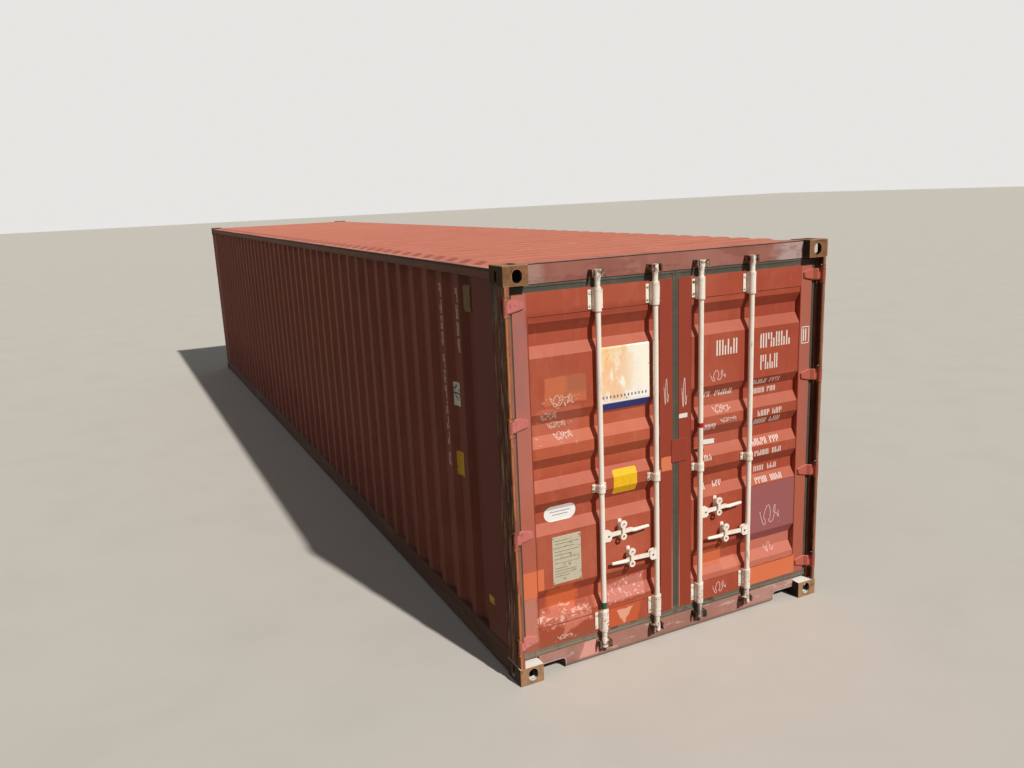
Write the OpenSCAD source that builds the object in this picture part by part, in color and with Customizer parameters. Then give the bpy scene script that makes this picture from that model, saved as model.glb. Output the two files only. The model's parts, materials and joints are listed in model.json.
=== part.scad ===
// Forty-foot steel dry-freight shipping container with two working cargo doors.
// X runs across, Y runs along with the door end at -Y, Z is up from the underside of the castings.

/* [Overall] */
// Length over the corner castings
length = 12192; // [9000:1:14000]
// Width over the corner castings
width = 2438; // [2200:1:2600]
// Height over the corner castings
height = 2591; // [2591:1:2900]
// How far rails and posts stand inside the casting side faces
side_inset = 6; // [4:1:8]

/* [Corner castings] */
// Casting size along the container
casting_l = 178; // [170:1:190]
// Casting size across the container
casting_w = 162; // [155:1:170]
// Casting height
casting_h = 118; // [116:1:124]
// Thickness of the outer top or bottom plate of a casting
casting_plate = 28.5; // [26:0.5:30]
// Thickness of the other casting walls
casting_wall = 14; // [12:0.5:16]
// Length of the top and bottom slot
slot_l = 124.5; // [120:0.5:126]
// Width of the top and bottom slot
slot_w = 63.5; // [60:0.5:65]
// Slot centre from the end face
slot_from_end = 103.5; // [100:0.5:106]
// Slot centre from the side face
slot_from_side = 89.5; // [86:0.5:92]
// Height of the end and side holes
hole_h = 79.5; // [70:0.5:80]
// Width of the end hole
end_hole_w = 63.5; // [55:0.5:66]
// Width of the side hole
side_hole_w = 51; // [45:0.5:56]
// Centre of the end and side holes from the outer plate's face
hole_from_plate = 64; // [63:0.5:66]
// Rounding of a casting's outer edges
casting_r = 6; // [3:0.5:8]

/* [Rear frame] */
// How far the header, sill and doors sit behind the casting end faces
door_recess = 60; // [56:1:66]
// Thickness of the post plate and front lip
post_plate = 6; // [5:1:8]
// Outer radius of the bend between post plate and lip
post_bend = 10; // [9:1:14]
// Width of the post's front lip
lip_w = 30; // [28:1:34]
// Width of the post's inner channel, with the outer plate
channel_w = 40; // [36:1:44]
// Distance of the inner channel behind the post's front
channel_y = 46; // [44:1:50]
// Depth of the inner channel
channel_d = 114; // [100:1:125]
// Wall of the inner channel
channel_t = 8; // [6:1:10]
// Height of the header
header_h = 114; // [100:1:130]
// Gap between the header's top and the casting tops
header_drop = 7; // [5:1:10]
// Height of the sill's top edge
sill_top = 135; // [125:1:140]
// Height of the sill's underside
sill_low = 14; // [12:1:20]
// Plate thickness of header and sill
frame_plate = 6; // [4:0.5:8]
// Length of the notch at each end of the sill
notch_l = 190; // [150:1:220]
// Height of the sill's underside in a notch
notch_top = 72; // [60:1:90]
// Thickness of the bent plate that lines a notch
notch_rim = 8; // [5:1:10]
// Radius of a notch's inner corner
notch_r = 24; // [10:1:30]
// How far a notch's lining stands out in front of the sill
rim_proud = 2; // [1:0.5:4]

/* [Front frame] */
// Depth of a front post's box section
front_post_d = 94; // [80:1:110]
// How far the closed end stands inside the casting end faces
front_inset = 6; // [4:1:10]
// How far the front wall stands behind the front rails' faces
front_wall_inset = 6; // [4:1:9]

/* [Side rails and walls] */
// Side of the square top rail
top_rail = 60; // [50:1:70]
// Wall of the square top rail
top_rail_t = 3; // [3:0.5:5]
// Height of the roof edge below the casting tops
roof_drop = 6; // [4:1:8]
// Underside of the bottom rail
rail_low = 14; // [12:1:30]
// Top of the bottom rail and of the floor
floor_top = 178; // [170:1:190]
// Width of the bottom rail's flanges
rail_flange = 48; // [42:1:60]
// Steel thickness of the bottom rail
rail_t = 4.5; // [4:0.5:6]
// Sheet thickness of walls and roof
sheet_t = 2; // [1.6:0.1:3]
// Length of one side wall wave
wall_pitch = 278; // [260:1:300]
// Depth of a side wall wave
wall_depth = 36; // [30:1:38]
// Length of the sloped part of a wave
wall_slope = 68; // [60:1:72]
// How far the wall's outer faces stand behind the rail faces
wall_inset = 6; // [5:1:9]
// Length of one front wall wave
front_pitch = 250; // [230:1:270]
// Depth of a front wall wave
front_depth = 45; // [36:1:46]
// Length of the sloped part of a front wall wave
front_slope = 18; // [15:1:30]

/* [Roof] */
// Thickness of the roof's end plates
end_plate_t = 3; // [2:0.5:4]
// How far the roof plate stands out over the header
eave = 4; // [2:1:8]
// Length of one roof wave
roof_pitch = 222; // [200:1:230]
// Height of a roof wave
roof_wave = 18; // [12:1:20]
// Length of the sloped part of a roof wave
roof_slope = 14; // [10:1:20]
// Flat margin between the roof's edge and the ends of its ridges
roof_margin = 50; // [40:1:70]
// Length of the slope at a ridge's end
ridge_end = 60; // [40:1:80]

/* [Ventilators] */
// Width of a ventilator
vent_w = 100; // [80:1:105]
// Height of a ventilator
vent_h = 170; // [120:1:200]
// Depth of a ventilator
vent_d = 28; // [20:1:30]
// Wall of a ventilator
vent_t = 3; // [2:0.5:4]
// Depth of a ventilator at its open lower end
vent_foot = 20; // [16:1:22]
// Top of a ventilator below the side rail
vent_drop = 62; // [40:1:120]

/* [Base] */
// Thickness of the plywood floor
floor_t = 28; // [25:1:30]
// Height of a crossmember
member_h = 122; // [110:1:125]
// Width of a crossmember's flanges
member_w = 45; // [40:1:50]
// Steel thickness of a crossmember
member_t = 4; // [3:0.5:5]
// Spacing of the crossmembers
member_pitch = 300; // [250:1:330]
// Width of the gooseneck tunnel
tunnel_w = 1029; // [1029:1:1070]
// Length of the gooseneck tunnel
tunnel_l = 3150; // [3000:1:3500]
// Height of the tunnel's ceiling
tunnel_h = 120; // [120:1:130]
// Thickness of the tunnel's plates
tunnel_t = 6; // [4:1:8]
// Width of the bows above the tunnel's ceiling
bow_w = 60; // [40:1:80]
// Distance from the door frame to the first crossmember, and from the tunnel's ends to its outriggers
end_space = 60; // [40:1:100]
// Length of one floor board
board_l = 1200; // [1000:10:2400]
// Width and depth of the joints between floor boards
board_joint = 3; // [2:0.5:5]

/* [Doors] */
// Half the gap between the two door leaves
seam_half = 25; // [22:1:30]
// Gap between a door leaf and the inside of the post
leaf_gap = 30; // [28:1:34]
// Gap between the leaf and the header, and between the leaf and the sill
leaf_edge = 48; // [44:1:52]
// Thickness of a door leaf
leaf_t = 50; // [45:1:55]
// Width of the leaf's stiles
stile_w = 97; // [90:1:105]
// Height of the leaf's top rail
leaf_top_h = 140; // [120:1:150]
// Height of the leaf's bottom rail
leaf_low_h = 135; // [120:1:150]
// Wall of the leaf's box sections
leaf_wall = 4; // [3:0.5:5]
// Depth of the panel's recesses
recess_d = 36; // [30:1:40]
// Height of one recess
recess_h = 208; // [200:1:212]
// Height of the flat floor of a recess
recess_floor = 72; // [60:1:80]
// Place of each recess, from 0 at the panel's top to 1 at its bottom
recess_at = [0.022, 0.335, 0.493, 0.652, 0.9745];
// Reach of the lap plate over the seam
lap_reach = 36; // [30:1:40]
// Width of the lap plate
lap_w = 126; // [110:1:140]
// Height of the lap plate
lap_h = 150; // [120:1:180]
// Underside of the lap plate
lap_z = 1226; // [1180:1:1300]
// Thickness of the lap plate
lap_t = 8; // [5:1:9]
// Bevel along the lap plate's edge
lap_bevel = 5; // [3:1:6]
// Thickness of the rubber gasket
gasket_t = 14; // [10:1:18]
// How far the gasket's front lies behind the leaf's face
gasket_back = 4; // [3:0.5:6]
// Radius of the gasket's bead
bead_r = 9; // [7:0.5:10]
// Distance of the bead's axis from the gasket's outer edge
bead_in = 13; // [12:0.5:14]
// How far the bead lies behind the leaf's face
bead_back = 0.5; // [0.3:0.1:2]
// Gap between a gasket and what it closes against
gasket_gap = 0.6; // [0.4:0.1:1]

/* [Hinges] */
// Number of hinges of a door
hinge_n = 4; // [3:1:5]
// Lowest hinge above the leaf's underside
hinge_low = 75; // [70:1:120]
// Highest hinge below the leaf's top
hinge_high = 66; // [66:1:120]
// Height of a hinge blade at the pin
blade_h = 76; // [65:1:85]
// Height of a hinge blade at its tip
blade_tip_h = 32; // [24:1:40]
// Length of the corner cut at the blade's tip
blade_tip = 16; // [10:1:20]
// Thickness of a hinge blade
blade_t = 12; // [10:1:12]
// Bevel round the blade's front
blade_bevel = 5; // [3:1:6]
// Where the blade turns from the pin towards the leaf, inward from the pin
crank_from = 20; // [18:1:24]
// Width of the flat part beside the post
crank_flat = 16; // [12:1:20]
// Width of the step down to the leaf
crank_step = 5; // [3:1:6]
// Length of the blade on the leaf
blade_leaf = 78; // [60:1:85]
// Radius of the hinge pin
pin_r = 11; // [9:0.5:12]
// Radius of the blade's eye and of the lugs
eye_r = 14; // [14:0.5:15]
// Pin axis behind the post's front
pin_back = 15; // [14:0.5:16]
// Pin axis inside the post's outer face
pin_in = 9; // [8:0.5:10]
// Thickness of a hinge lug
lug_t = 15; // [12:1:18]
// Radial clearance of the pins and bars in their bores
running_gap = 0.3; // [0.2:0.1:0.5]

/* [Locking bars] */
// Distance of each bar from the container's centre line
bar_x = [590, 176];
// Distance of the bar's axis in front of the doors
bar_out = 32; // [31.5:0.5:33]
// Radius of a locking bar
bar_r = 17; // [15:0.5:17]
// Wall of a locking bar
bar_wall = 3.5; // [3:0.5:5]
// Height of a cam
cam_h = 45; // [40:1:50]
// Underside of the lower cam
cam_low = 86; // [80:1:90]
// Top of the upper cam below the casting tops
cam_drop = 67; // [60:1:76]
// Radius of the cam's boss
cam_r = 21; // [18:0.5:23]
// Length of the taper between boss and bar
boss_taper = 25; // [15:1:35]
// Reach of the cam's lobe
lobe_r = 30; // [28:1:30]
// Radial gap between the lobe and the keeper
keeper_gap = 2; // [2:0.5:3]
// Thickness of a keeper's lugs
keeper_t = 10; // [8:1:12]
// How far the lobe leads a keeper's hook
keeper_lead = 5; // [4:0.5:6]
// Width of a bearing bracket's plate
bracket_w = 104; // [90:1:130]
// Height of a bearing bracket's plate
bracket_h = 116; // [100:1:125]
// Height of a bearing bracket's cap
cap_h = 140; // [125:1:150]
// Height of the collars at a cap's ends
cap_collar = 18; // [10:1:25]
// How far a cap's collars stand out
cap_step = 1.5; // [1:0.5:2]
// Lowest bracket's middle above the leaf's underside
bracket_low = 82; // [78:1:100]
// Highest bracket's middle below the leaf's top
bracket_high = 75; // [75:1:100]
// Thickness of a bracket's plate
bracket_t = 6; // [5:1:8]
// Radius of a bracket's cap
cap_r = 25; // [23:0.5:27]
// Height of the middle guides
guide_z = 1165; // [1000:1:1300]
// Height of a middle guide
guide_h = 50; // [40:1:60]
// Width of a middle guide
guide_w = 100; // [90:1:120]

/* [Handles] */
// Heights of the upper and lower handles
handle_z = [843, 641];
// Distance of each catch from its own bar's axis
catch_from_bar = [147, 205];
// Length of a handle from its bar's axis
handle_l = 350; // [330:1:360]
// Rivet of a handle from its bar's axis
rivet_x = 38; // [37:1:44]
// Radius of a handle's rivet
rivet_r = 7; // [6:0.5:8]
// Radius of the round end of a handle's tongue
tongue_r = 15; // [14:0.5:16]
// Height of a handle's tongue
tongue_h = 26; // [20:1:28]
// Thickness of a handle's tongue
tongue_t = 12; // [10:1:14]
// Distance from the bar's axis to the bend at the tongue's end
bend_x = 218; // [216:1:224]
// Length of the handle's bend
bend_l = 26; // [22:1:30]
// How far the tongue's end lies above the rivet
tongue_rise = 7; // [0:0.5:8]
// How far the grip's start lies below the rivet
grip_drop = 2; // [0:0.5:4]
// How far the grip's end lies above the rivet
grip_rise = 3; // [0:0.5:6]
// Radius of the round part that grows out of the bend
bend_r = 8; // [7:0.5:9]
// Radius of a grip at its thickest
grip_r = 13.5; // [12:0.5:14]
// Radius of a grip at its end
grip_end_r = 10; // [8:0.5:12]
// Chamfer at a grip's end
grip_chamfer = 3; // [1:0.5:4]
// Distance of the handle's middle in front of the doors
handle_out = 33; // [32:0.5:34]
// Height of a handle hub
hub_h = 72; // [60:1:76]
// Reach of a hub's ears from the bar's axis
hub_reach = 62; // [58:1:66]
// Size of the corners cut off the ears
ear_cut = 14; // [8:1:18]
// Thickness of an ear
ear_t = 5; // [4:0.5:7]
// Gap between a handle's tongue and the ears
ear_gap = 1.5; // [1:0.5:3]
// Height of a catch's pivot above its handle
catch_pivot = 61; // [60:1:66]
// Thickness of a catch
catch_t = 6; // [5:1:7]
// Radius of a catch's eye
catch_eye = 25; // [22:0.5:26]
// Radius of a catch's lower ring
catch_ring = 22; // [20:0.5:24]
// Width of a catch's neck
catch_neck = 20; // [14:1:22]
// Middle of a catch's ring below its handle
ring_drop = 22; // [18:1:26]
// Radius of the hole in a catch's ring
ring_hole = 9; // [8:0.5:12]
// Radius of a catch's tubular pivot
pivot_r = 10; // [9:0.5:10.5]
// Radius of the hollow in the pivot
pivot_hollow = 8; // [6:0.5:8]
// Depth of the hollow in the pivot
hollow_d = 30; // [20:1:36]
// Radius of the flange that keeps a catch on its pivot
pivot_flange_r = 12; // [11.5:0.5:13]
// Thickness of a flange on a pivot or a head on a rivet
head_t = 2; // [1.5:0.5:4]
// Width of a seat's plate
seat_w = 26; // [24:1:34]
// Thickness of a seat's plate
seat_t = 5; // [4:0.5:6]
// Rounding of a seat's corners
seat_r = 5; // [3:0.5:8]
// Height of a seat's shelf
shelf_h = 8; // [6:1:10]
// How far the shelf is narrower than the seat's plate, each side
shelf_in = 3; // [2:1:5]

/* [Hidden] */
$fn = 48;
half_l = length / 2;
half_w = width / 2;
// Outer faces of posts and rails
post_x = half_w - side_inset;
post_h = height - 2 * casting_h;
post_inner = post_x - channel_w;
// Faces of the door end
face_y = -half_l + door_recess;
pin_x = post_x - pin_in;
pin_y = -half_l + pin_back;
bar_y = face_y - bar_out;
handle_y = face_y - handle_out;
// Between the castings
clear_half_w = half_w - casting_w;
header_d = casting_l - door_recess;
rail_half_l = half_l - casting_l;
header_top = height - header_drop;
header_low = header_top - header_h;
roof_top = height - roof_drop;
roof_low = roof_top - roof_wave;
rail_top_z = roof_low - sheet_t;
rail_under = rail_top_z - top_rail;
wall_x = post_x - wall_inset;
front_face_y = half_l - front_inset;
front_post_w = post_x - clear_half_w;
front_wall_y = front_face_y - front_wall_inset;
// Door leaf
leaf_outer = post_inner - leaf_gap;
leaf_low = sill_top + leaf_edge;
leaf_top = header_low - leaf_edge;
panel_low = leaf_low + leaf_low_h;
panel_top = leaf_top - leaf_top_h;
panel_in = seam_half + stile_w;
panel_out = leaf_outer - stile_w;
recess_slope = (recess_h - recess_floor) / 2;
recess = [[0, 0], [recess_slope, recess_d], [recess_slope + recess_floor, recess_d], [recess_h, 0]];
recess_tops = [for (k = recess_at) panel_top - k * (panel_top - panel_low - recess_h)];
recess_path = concat(
  [[panel_top, 0]],
  [for (top = recess_tops, p = recess) [top - p[0], p[1]]],
  [[panel_low, 0]]
);
// Gasket
gasket_y = face_y + gasket_back;
gasket_side = post_inner - gasket_gap;
gasket_low = sill_top + gasket_gap;
gasket_top = header_low - gasket_gap;
// Hinges
blade_gap = 1;
hinge_step = (leaf_top - hinge_high - leaf_low - hinge_low) / (hinge_n - 1);
hinge_z = [for (k = [0 : hinge_n - 1]) leaf_low + hinge_low + k * hinge_step];
pin_head_h = 5;
pin_reach = blade_h / 2 + blade_gap + lug_t + blade_gap;
hinge_notch = 2 * (pin_reach + pin_head_h + blade_gap);
// Locking bars
cam_top = height - cam_drop;
bracket_z = [leaf_low + bracket_low, leaf_top - bracket_high];
keeper_r = lobe_r + keeper_gap;
keeper_in = keeper_r + 1;
hook_w = 0.4 * keeper_r;
lobe_back = -50;
lobe_front = 20;
// Handles
ear_front = handle_y - tongue_t / 2 - ear_gap - ear_t;
ear_back = handle_y + tongue_t / 2 + ear_gap;
grip_x = bend_x + bend_l;
bend_h = 1.6 * grip_r;
bend_lap = 8;
catch_y = handle_y - grip_r - 1;
seat_in = 3;
seat_low = seat_in - ring_drop - catch_ring;
seat_top = catch_pivot + catch_eye - seat_in;
// Waves of the side walls
wall_waves = floor((2 * rail_half_l - wall_pitch) / wall_pitch);
vent_y = -wall_waves * wall_pitch / 2 + (3 * wall_pitch - 2 * wall_slope) / 4;
vent_x = wall_x - wall_depth;
vent_root = wall_pitch / 2 - wall_slope - 2;
vent_ease = (vent_w - vent_root) / 2 * wall_depth / wall_slope + 1;
vent_z = rail_under - vent_drop - vent_h;
// Base
member_z = floor_top - floor_t - member_h;
member_half = post_x - rail_t;
main_from = face_y + header_d + end_space;
tunnel_from = half_l - tunnel_l;
main_count = floor((tunnel_from - main_from) / member_pitch);
tunnel_count = floor((tunnel_l - 2 * bow_w) / member_pitch);
// Colours
rust = [0.46, 0.30, 0.20];
red = [0.66, 0.29, 0.22];
dark_red = [0.40, 0.20, 0.17];
pink = [0.74, 0.43, 0.37];
cream = [0.85, 0.83, 0.76];
brown = [0.45, 0.32, 0.20];
rubber = [0.24, 0.26, 0.25];

// Right side is drawn, and the left side is its mirror image
module at_side(s) {
  mirror([s < 0 ? 1 : 0, 0, 0]) children();
}

// The door end is drawn, and the closed end is its mirror image
module at_end(e) {
  mirror([0, e > 0 ? 1 : 0, 0]) children();
}

// A flat outline given in Y and Z, run along X between two places
module along_x(from, to) {
  translate([from, 0, 0]) rotate([90, 0, 90]) linear_extrude(to - from) children();
}

// A flat outline given in X and Z, run along Y between two places
module along_y(from, to) {
  translate([0, to, 0]) rotate([90, 0, 0]) linear_extrude(to - from) children();
}

// A rectangle from the origin with that corner round
module one_round(w, h, r) {
  translate([r, 0]) square([w - r, h]);
  translate([0, r]) square([w, h - r]);
  translate([r, r]) circle(r);
}

// A plate of one thickness bent round the corner at the origin
module bent_plate(w, h, t, r) {
  difference() {
    one_round(w, h, r);
    translate([t, t]) one_round(w, h, r - t);
  }
}

// A rectangle from the origin with all corners round
module soft_square(w, h, r) {
  translate([r, 0]) square([w - 2 * r, h]);
  translate([0, r]) square([w, h - 2 * r]);
  for (x = [r, w - r], y = [r, h - r]) translate([x, y]) circle(r);
}

module obround(long, wide) {
  square([wide, long - wide], center = true);
  for (s = [-1, 1]) translate([0, s * (long - wide) / 2]) circle(d = wide);
}

// Corner castings, drawn inward from the outer corner of the outer plate
module casting_body() {
  intersection() {
    linear_extrude(casting_h) one_round(casting_w, casting_l, casting_r);
    along_y(0, casting_l) one_round(casting_w, casting_h, casting_r);
    along_x(0, casting_w) one_round(casting_l, casting_h, casting_r);
  }
}

module casting(s, e, top) {
  color(rust)
    at_side(s) at_end(e) translate([half_w, -half_l, top ? height : 0]) mirror([0, 0, top ? 1 : 0])
      mirror([1, 0, 0]) difference() {
        casting_body();
        translate([casting_wall, casting_wall, casting_plate])
          cube([casting_w - 2 * casting_wall, casting_l - 2 * casting_wall,
            casting_h - casting_plate - casting_wall]);
        translate([slot_from_side, slot_from_end, -1])
          linear_extrude(casting_plate + 2) obround(slot_l, slot_w);
        translate([slot_from_side, casting_wall + 1, hole_from_plate])
          rotate([90, 0, 0]) linear_extrude(casting_wall + 2) obround(hole_h, end_hole_w);
        translate([-1, slot_from_end, hole_from_plate])
          rotate([90, 0, 90]) linear_extrude(casting_wall + 2) obround(hole_h, side_hole_w);
      }
}

// Rear post with hinge notches and lugs
module rear_post_outline() {
  translate([post_x, -half_l]) mirror([1, 0]) bent_plate(lip_w, casting_l, post_plate, post_bend);
  difference() {
    translate([post_inner, -half_l + channel_y]) square([channel_w - post_plate, channel_d]);
    translate([post_inner + channel_t, -half_l + channel_y + channel_t])
      square([channel_w - post_plate - channel_t, channel_d - 2 * channel_t]);
  }
}

module lug_outline() {
  translate([pin_x, pin_y]) circle(eye_r);
  translate([post_x - lip_w, pin_y - eye_r]) square([lip_w - pin_in, channel_y - pin_back + eye_r]);
  translate([pin_x, pin_y]) square([pin_in, channel_y - pin_back]);
}

module rear_post(s) {
  color(rust) at_side(s) difference() {
    union() {
      difference() {
        translate([0, 0, casting_h]) linear_extrude(post_h) rear_post_outline();
        for (z = hinge_z)
          translate([post_inner - 1, -half_l - 1, z - hinge_notch / 2])
            cube([channel_w + 2, channel_y + 1, hinge_notch]);
      }
      for (z = hinge_z, k = [-1, 1])
        translate([0, 0, z + k * (blade_h + lug_t + 2 * blade_gap) / 2])
          linear_extrude(lug_t, center = true) lug_outline();
    }
    for (z = hinge_z)
      translate([pin_x, pin_y, z]) cylinder(r = pin_r + running_gap, h = hinge_notch, center = true);
  }
}

module front_posts() {
  color(dark_red) for (s = [-1, 1]) at_side(s) translate([0, 0, casting_h]) linear_extrude(post_h) {
    difference() {
      translate([clear_half_w, front_face_y - front_post_d]) square([front_post_w, front_post_d]);
      translate([clear_half_w + post_plate, front_face_y - front_post_d + post_plate])
        square([front_post_w - 2 * post_plate, front_post_d - 2 * post_plate]);
    }
    translate([post_x - post_plate, rail_half_l])
      square([post_plate, front_face_y - front_post_d - rail_half_l]);
  }
}

// Header, sill and the keepers welded to them
module door_header() {
  color(pink) along_x(-clear_half_w, clear_half_w) difference() {
    translate([face_y, header_low]) square([header_d, header_h]);
    translate([face_y + frame_plate, header_low + frame_plate])
      square([header_d - 2 * frame_plate, header_h - 2 * frame_plate]);
  }
}

module door_sill() {
  rim_l = notch_l + notch_rim;
  rim_h = notch_top + notch_rim - sill_low;
  color(pink) {
    difference() {
      along_x(-clear_half_w, clear_half_w) {
        translate([face_y, sill_low]) square([frame_plate, sill_top - sill_low]);
        translate([face_y, sill_top - frame_plate]) square([header_d, frame_plate]);
        translate([face_y, sill_low]) square([header_d, frame_plate]);
      }
      for (s = [-1, 1]) at_notch(s) along_y(face_y - 1, face_y + header_d + 1)
        one_round(rim_l + 1, rim_h + 1, notch_r + notch_rim);
    }
    for (s = [-1, 1]) at_notch(s) along_y(face_y - rim_proud, face_y + header_d)
      bent_plate(rim_l, rim_h, notch_rim, notch_r + notch_rim);
  }
}

// Places an outline at the inner upper corner of a notch, running outward and down
module at_notch(s) {
  at_side(s) translate([clear_half_w - notch_l - notch_rim, 0, notch_top + notch_rim])
    mirror([0, 0, 1]) children();
}

// A keeper's plan about the bar's axis, hooked on the +X side
module keeper_outline() {
  difference() {
    union() {
      translate([keeper_in, keeper_lead - keeper_r]) square([keeper_t, keeper_r - keeper_lead + bar_out]);
      translate([keeper_r / 2, keeper_lead - keeper_r]) square([keeper_in - keeper_r / 2 + 1, hook_w]);
    }
    circle(keeper_r);
  }
  translate([-keeper_in - keeper_t, -keeper_r / 2]) square([keeper_t, keeper_r / 2 + bar_out]);
}

module cam_keepers() {
  color(rust) for (s = [-1, 1]) at_side(s) for (i = [0, 1], z = [cam_low, cam_top - cam_h])
    translate([bar_x[i], bar_y, z]) mirror([i == 0 ? 1 : 0, 0, 0]) linear_extrude(cam_h) keeper_outline();
}

// Rails
module front_top_rail() {
  color(dark_red) along_x(-clear_half_w, clear_half_w) difference() {
    translate([front_face_y - top_rail, rail_under]) square(top_rail);
    translate([front_face_y - top_rail + top_rail_t, rail_under + top_rail_t])
      square(top_rail - 2 * top_rail_t);
  }
}

module front_bottom_rail() {
  color(dark_red) difference() {
    along_x(-clear_half_w, clear_half_w) {
      translate([front_face_y - frame_plate, rail_low]) square([frame_plate, floor_top - rail_low]);
      translate([front_face_y - top_rail, floor_top - frame_plate]) square([top_rail, frame_plate]);
    }
    translate([-tunnel_w / 2, front_face_y - frame_plate - 1, rail_low - 1])
      cube([tunnel_w, frame_plate + 2, tunnel_h - rail_low + 1]);
  }
}

// Plates that close the roof between the castings at both ends
module roof_end_plates() {
  color(pink) {
    translate([-clear_half_w, face_y - eave, header_top])
      cube([2 * clear_half_w, header_d + eave, end_plate_t]);
    translate([-clear_half_w, rail_half_l, rail_top_z])
      cube([2 * clear_half_w, front_face_y - rail_half_l, end_plate_t]);
  }
}

module top_rail_side(s) {
  color(pink) at_side(s) along_y(-rail_half_l, rail_half_l) difference() {
    translate([post_x - top_rail, rail_under]) square(top_rail);
    translate([post_x - top_rail + top_rail_t, rail_under + top_rail_t])
      square(top_rail - 2 * top_rail_t);
  }
}

module bottom_rail_side(s) {
  color(dark_red) at_side(s) along_y(-rail_half_l, rail_half_l) {
    translate([post_x - rail_t, rail_low]) square([rail_t, floor_top - rail_low]);
    translate([post_x - rail_flange, floor_top - rail_t]) square([rail_flange, rail_t]);
    translate([post_x - rail_flange, rail_low]) square([rail_flange, rail_t]);
  }
}

// Corner points of one wave as [along, depth], outer flat first
function wave(pitch, slope, depth) =
  [[0, 0], [pitch / 2 - slope, 0], [pitch / 2, depth], [pitch - slope, depth]];

// Path of whole waves centred on 0, with flat ends out to half_run
function wave_path(half_run, pitch, slope, depth) =
  let (n = floor((2 * half_run - pitch) / pitch), start = -n * pitch / 2)
    concat(
      [[-half_run, 0]],
      [for (i = [0 : n - 1], p = wave(pitch, slope, depth))
        if (i > 0 || p[0] > 0) [start + i * pitch + p[0], p[1]]],
      [[start + n * pitch, 0], [half_run, 0]]
    );

// A sheet of even thickness along a path, thickened on the positive side
module sheet(path, t) {
  n = len(path);
  polygon(concat(path, [for (i = [n - 1 : -1 : 0]) [path[i][0], path[i][1] + t]]));
}

module side_wall(s) {
  color(dark_red) at_side(s)
    translate([0, 0, floor_top]) linear_extrude(rail_under - floor_top)
      translate([wall_x, 0]) rotate(90)
        sheet(wave_path(rail_half_l, wall_pitch, wall_slope, wall_depth), sheet_t);
}

module front_wall() {
  color(dark_red) translate([0, 0, floor_top]) linear_extrude(rail_under - floor_top)
    translate([0, front_wall_y]) mirror([0, 1])
      sheet(wave_path(clear_half_w, front_pitch, front_slope, front_depth), sheet_t);
}

// The space under the roof's outer surface, down to the underside of its flats
module under_roof() {
  ridge_from = post_x - roof_margin;
  base = roof_low - sheet_t;
  waves = wave_path(rail_half_l, roof_pitch, roof_slope, roof_wave);
  intersection() {
    along_x(-post_x, post_x)
      polygon(concat([[-rail_half_l, base]], [for (p = waves) [p[0], roof_low + p[1]]],
        [[rail_half_l, base]]));
    along_y(-rail_half_l, rail_half_l)
      polygon([[-post_x, base], [-post_x, roof_low], [-ridge_from, roof_low],
        [ridge_end - ridge_from, roof_top], [ridge_from - ridge_end, roof_top],
        [ridge_from, roof_low], [post_x, roof_low], [post_x, base]]);
  }
}

module roof() {
  color(pink) difference() {
    under_roof();
    translate([0, 0, -sheet_t]) under_roof();
  }
}

// Ventilators, each a hood open at its lower end, in a recess of a side wall
module vent_plan(inset) {
  root = vent_root / 2 - inset;
  side = vent_w / 2 - inset;
  polygon([[0, -root], [vent_ease, -side], [vent_d, -side], [vent_d, side], [vent_ease, side], [0, root]]);
}

module vent_profile(inset) {
  top = vent_h - inset;
  front = vent_d - inset;
  polygon([[0, 0], [vent_foot - inset, 0], [front, vent_d], [front, top - vent_d / 2],
    [vent_d / 2, top], [0, top]]);
}

module vent_hood() {
  difference() {
    intersection() {
      along_y(-vent_w, vent_w) vent_profile(0);
      linear_extrude(vent_h) vent_plan(0);
    }
    intersection() {
      translate([vent_t, 0, -1]) along_y(-vent_w, vent_w) vent_profile(2 * vent_t);
      translate([0, 0, -1]) linear_extrude(vent_h) vent_plan(vent_t);
    }
  }
}

module ventilators() {
  color(dark_red) {
    at_side(-1) translate([vent_x, vent_y, vent_z]) vent_hood();
    translate([vent_x, vent_y + (wall_waves - 1) * wall_pitch, vent_z]) vent_hood();
  }
}

// Base
module member(x0, x1) {
  along_x(x0, x1) {
    square([member_t, member_h]);
    square([member_w, member_t]);
    translate([0, member_h - member_t]) square([member_w, member_t]);
  }
}

module crossmembers() {
  color(dark_red) for (i = [0 : main_count])
    translate([0, main_from + i * member_pitch, member_z]) member(-member_half, member_half);
}

module outriggers(s) {
  color(dark_red) at_side(s) for (i = [0 : tunnel_count - 1])
    translate([0, tunnel_from + bow_w + i * member_pitch, member_z])
      member(tunnel_w / 2 + tunnel_t, member_half);
}

module gooseneck_tunnel() {
  bow_h = floor_top - floor_t - tunnel_h - tunnel_t;
  bows = floor((tunnel_l - 2 * member_pitch) / member_pitch);
  color(dark_red) {
    along_y(tunnel_from + bow_w, front_face_y - frame_plate) {
      for (x = [-tunnel_w / 2 - tunnel_t, tunnel_w / 2])
        translate([x, member_z]) square([tunnel_t, member_h]);
      translate([-tunnel_w / 2, tunnel_h]) square([tunnel_w, tunnel_t]);
    }
    for (i = [0 : bows])
      translate([-tunnel_w / 2, tunnel_from + 2 * bow_w + i * member_pitch, tunnel_h + tunnel_t])
        cube([tunnel_w, bow_w, bow_h]);
  }
}

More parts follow.
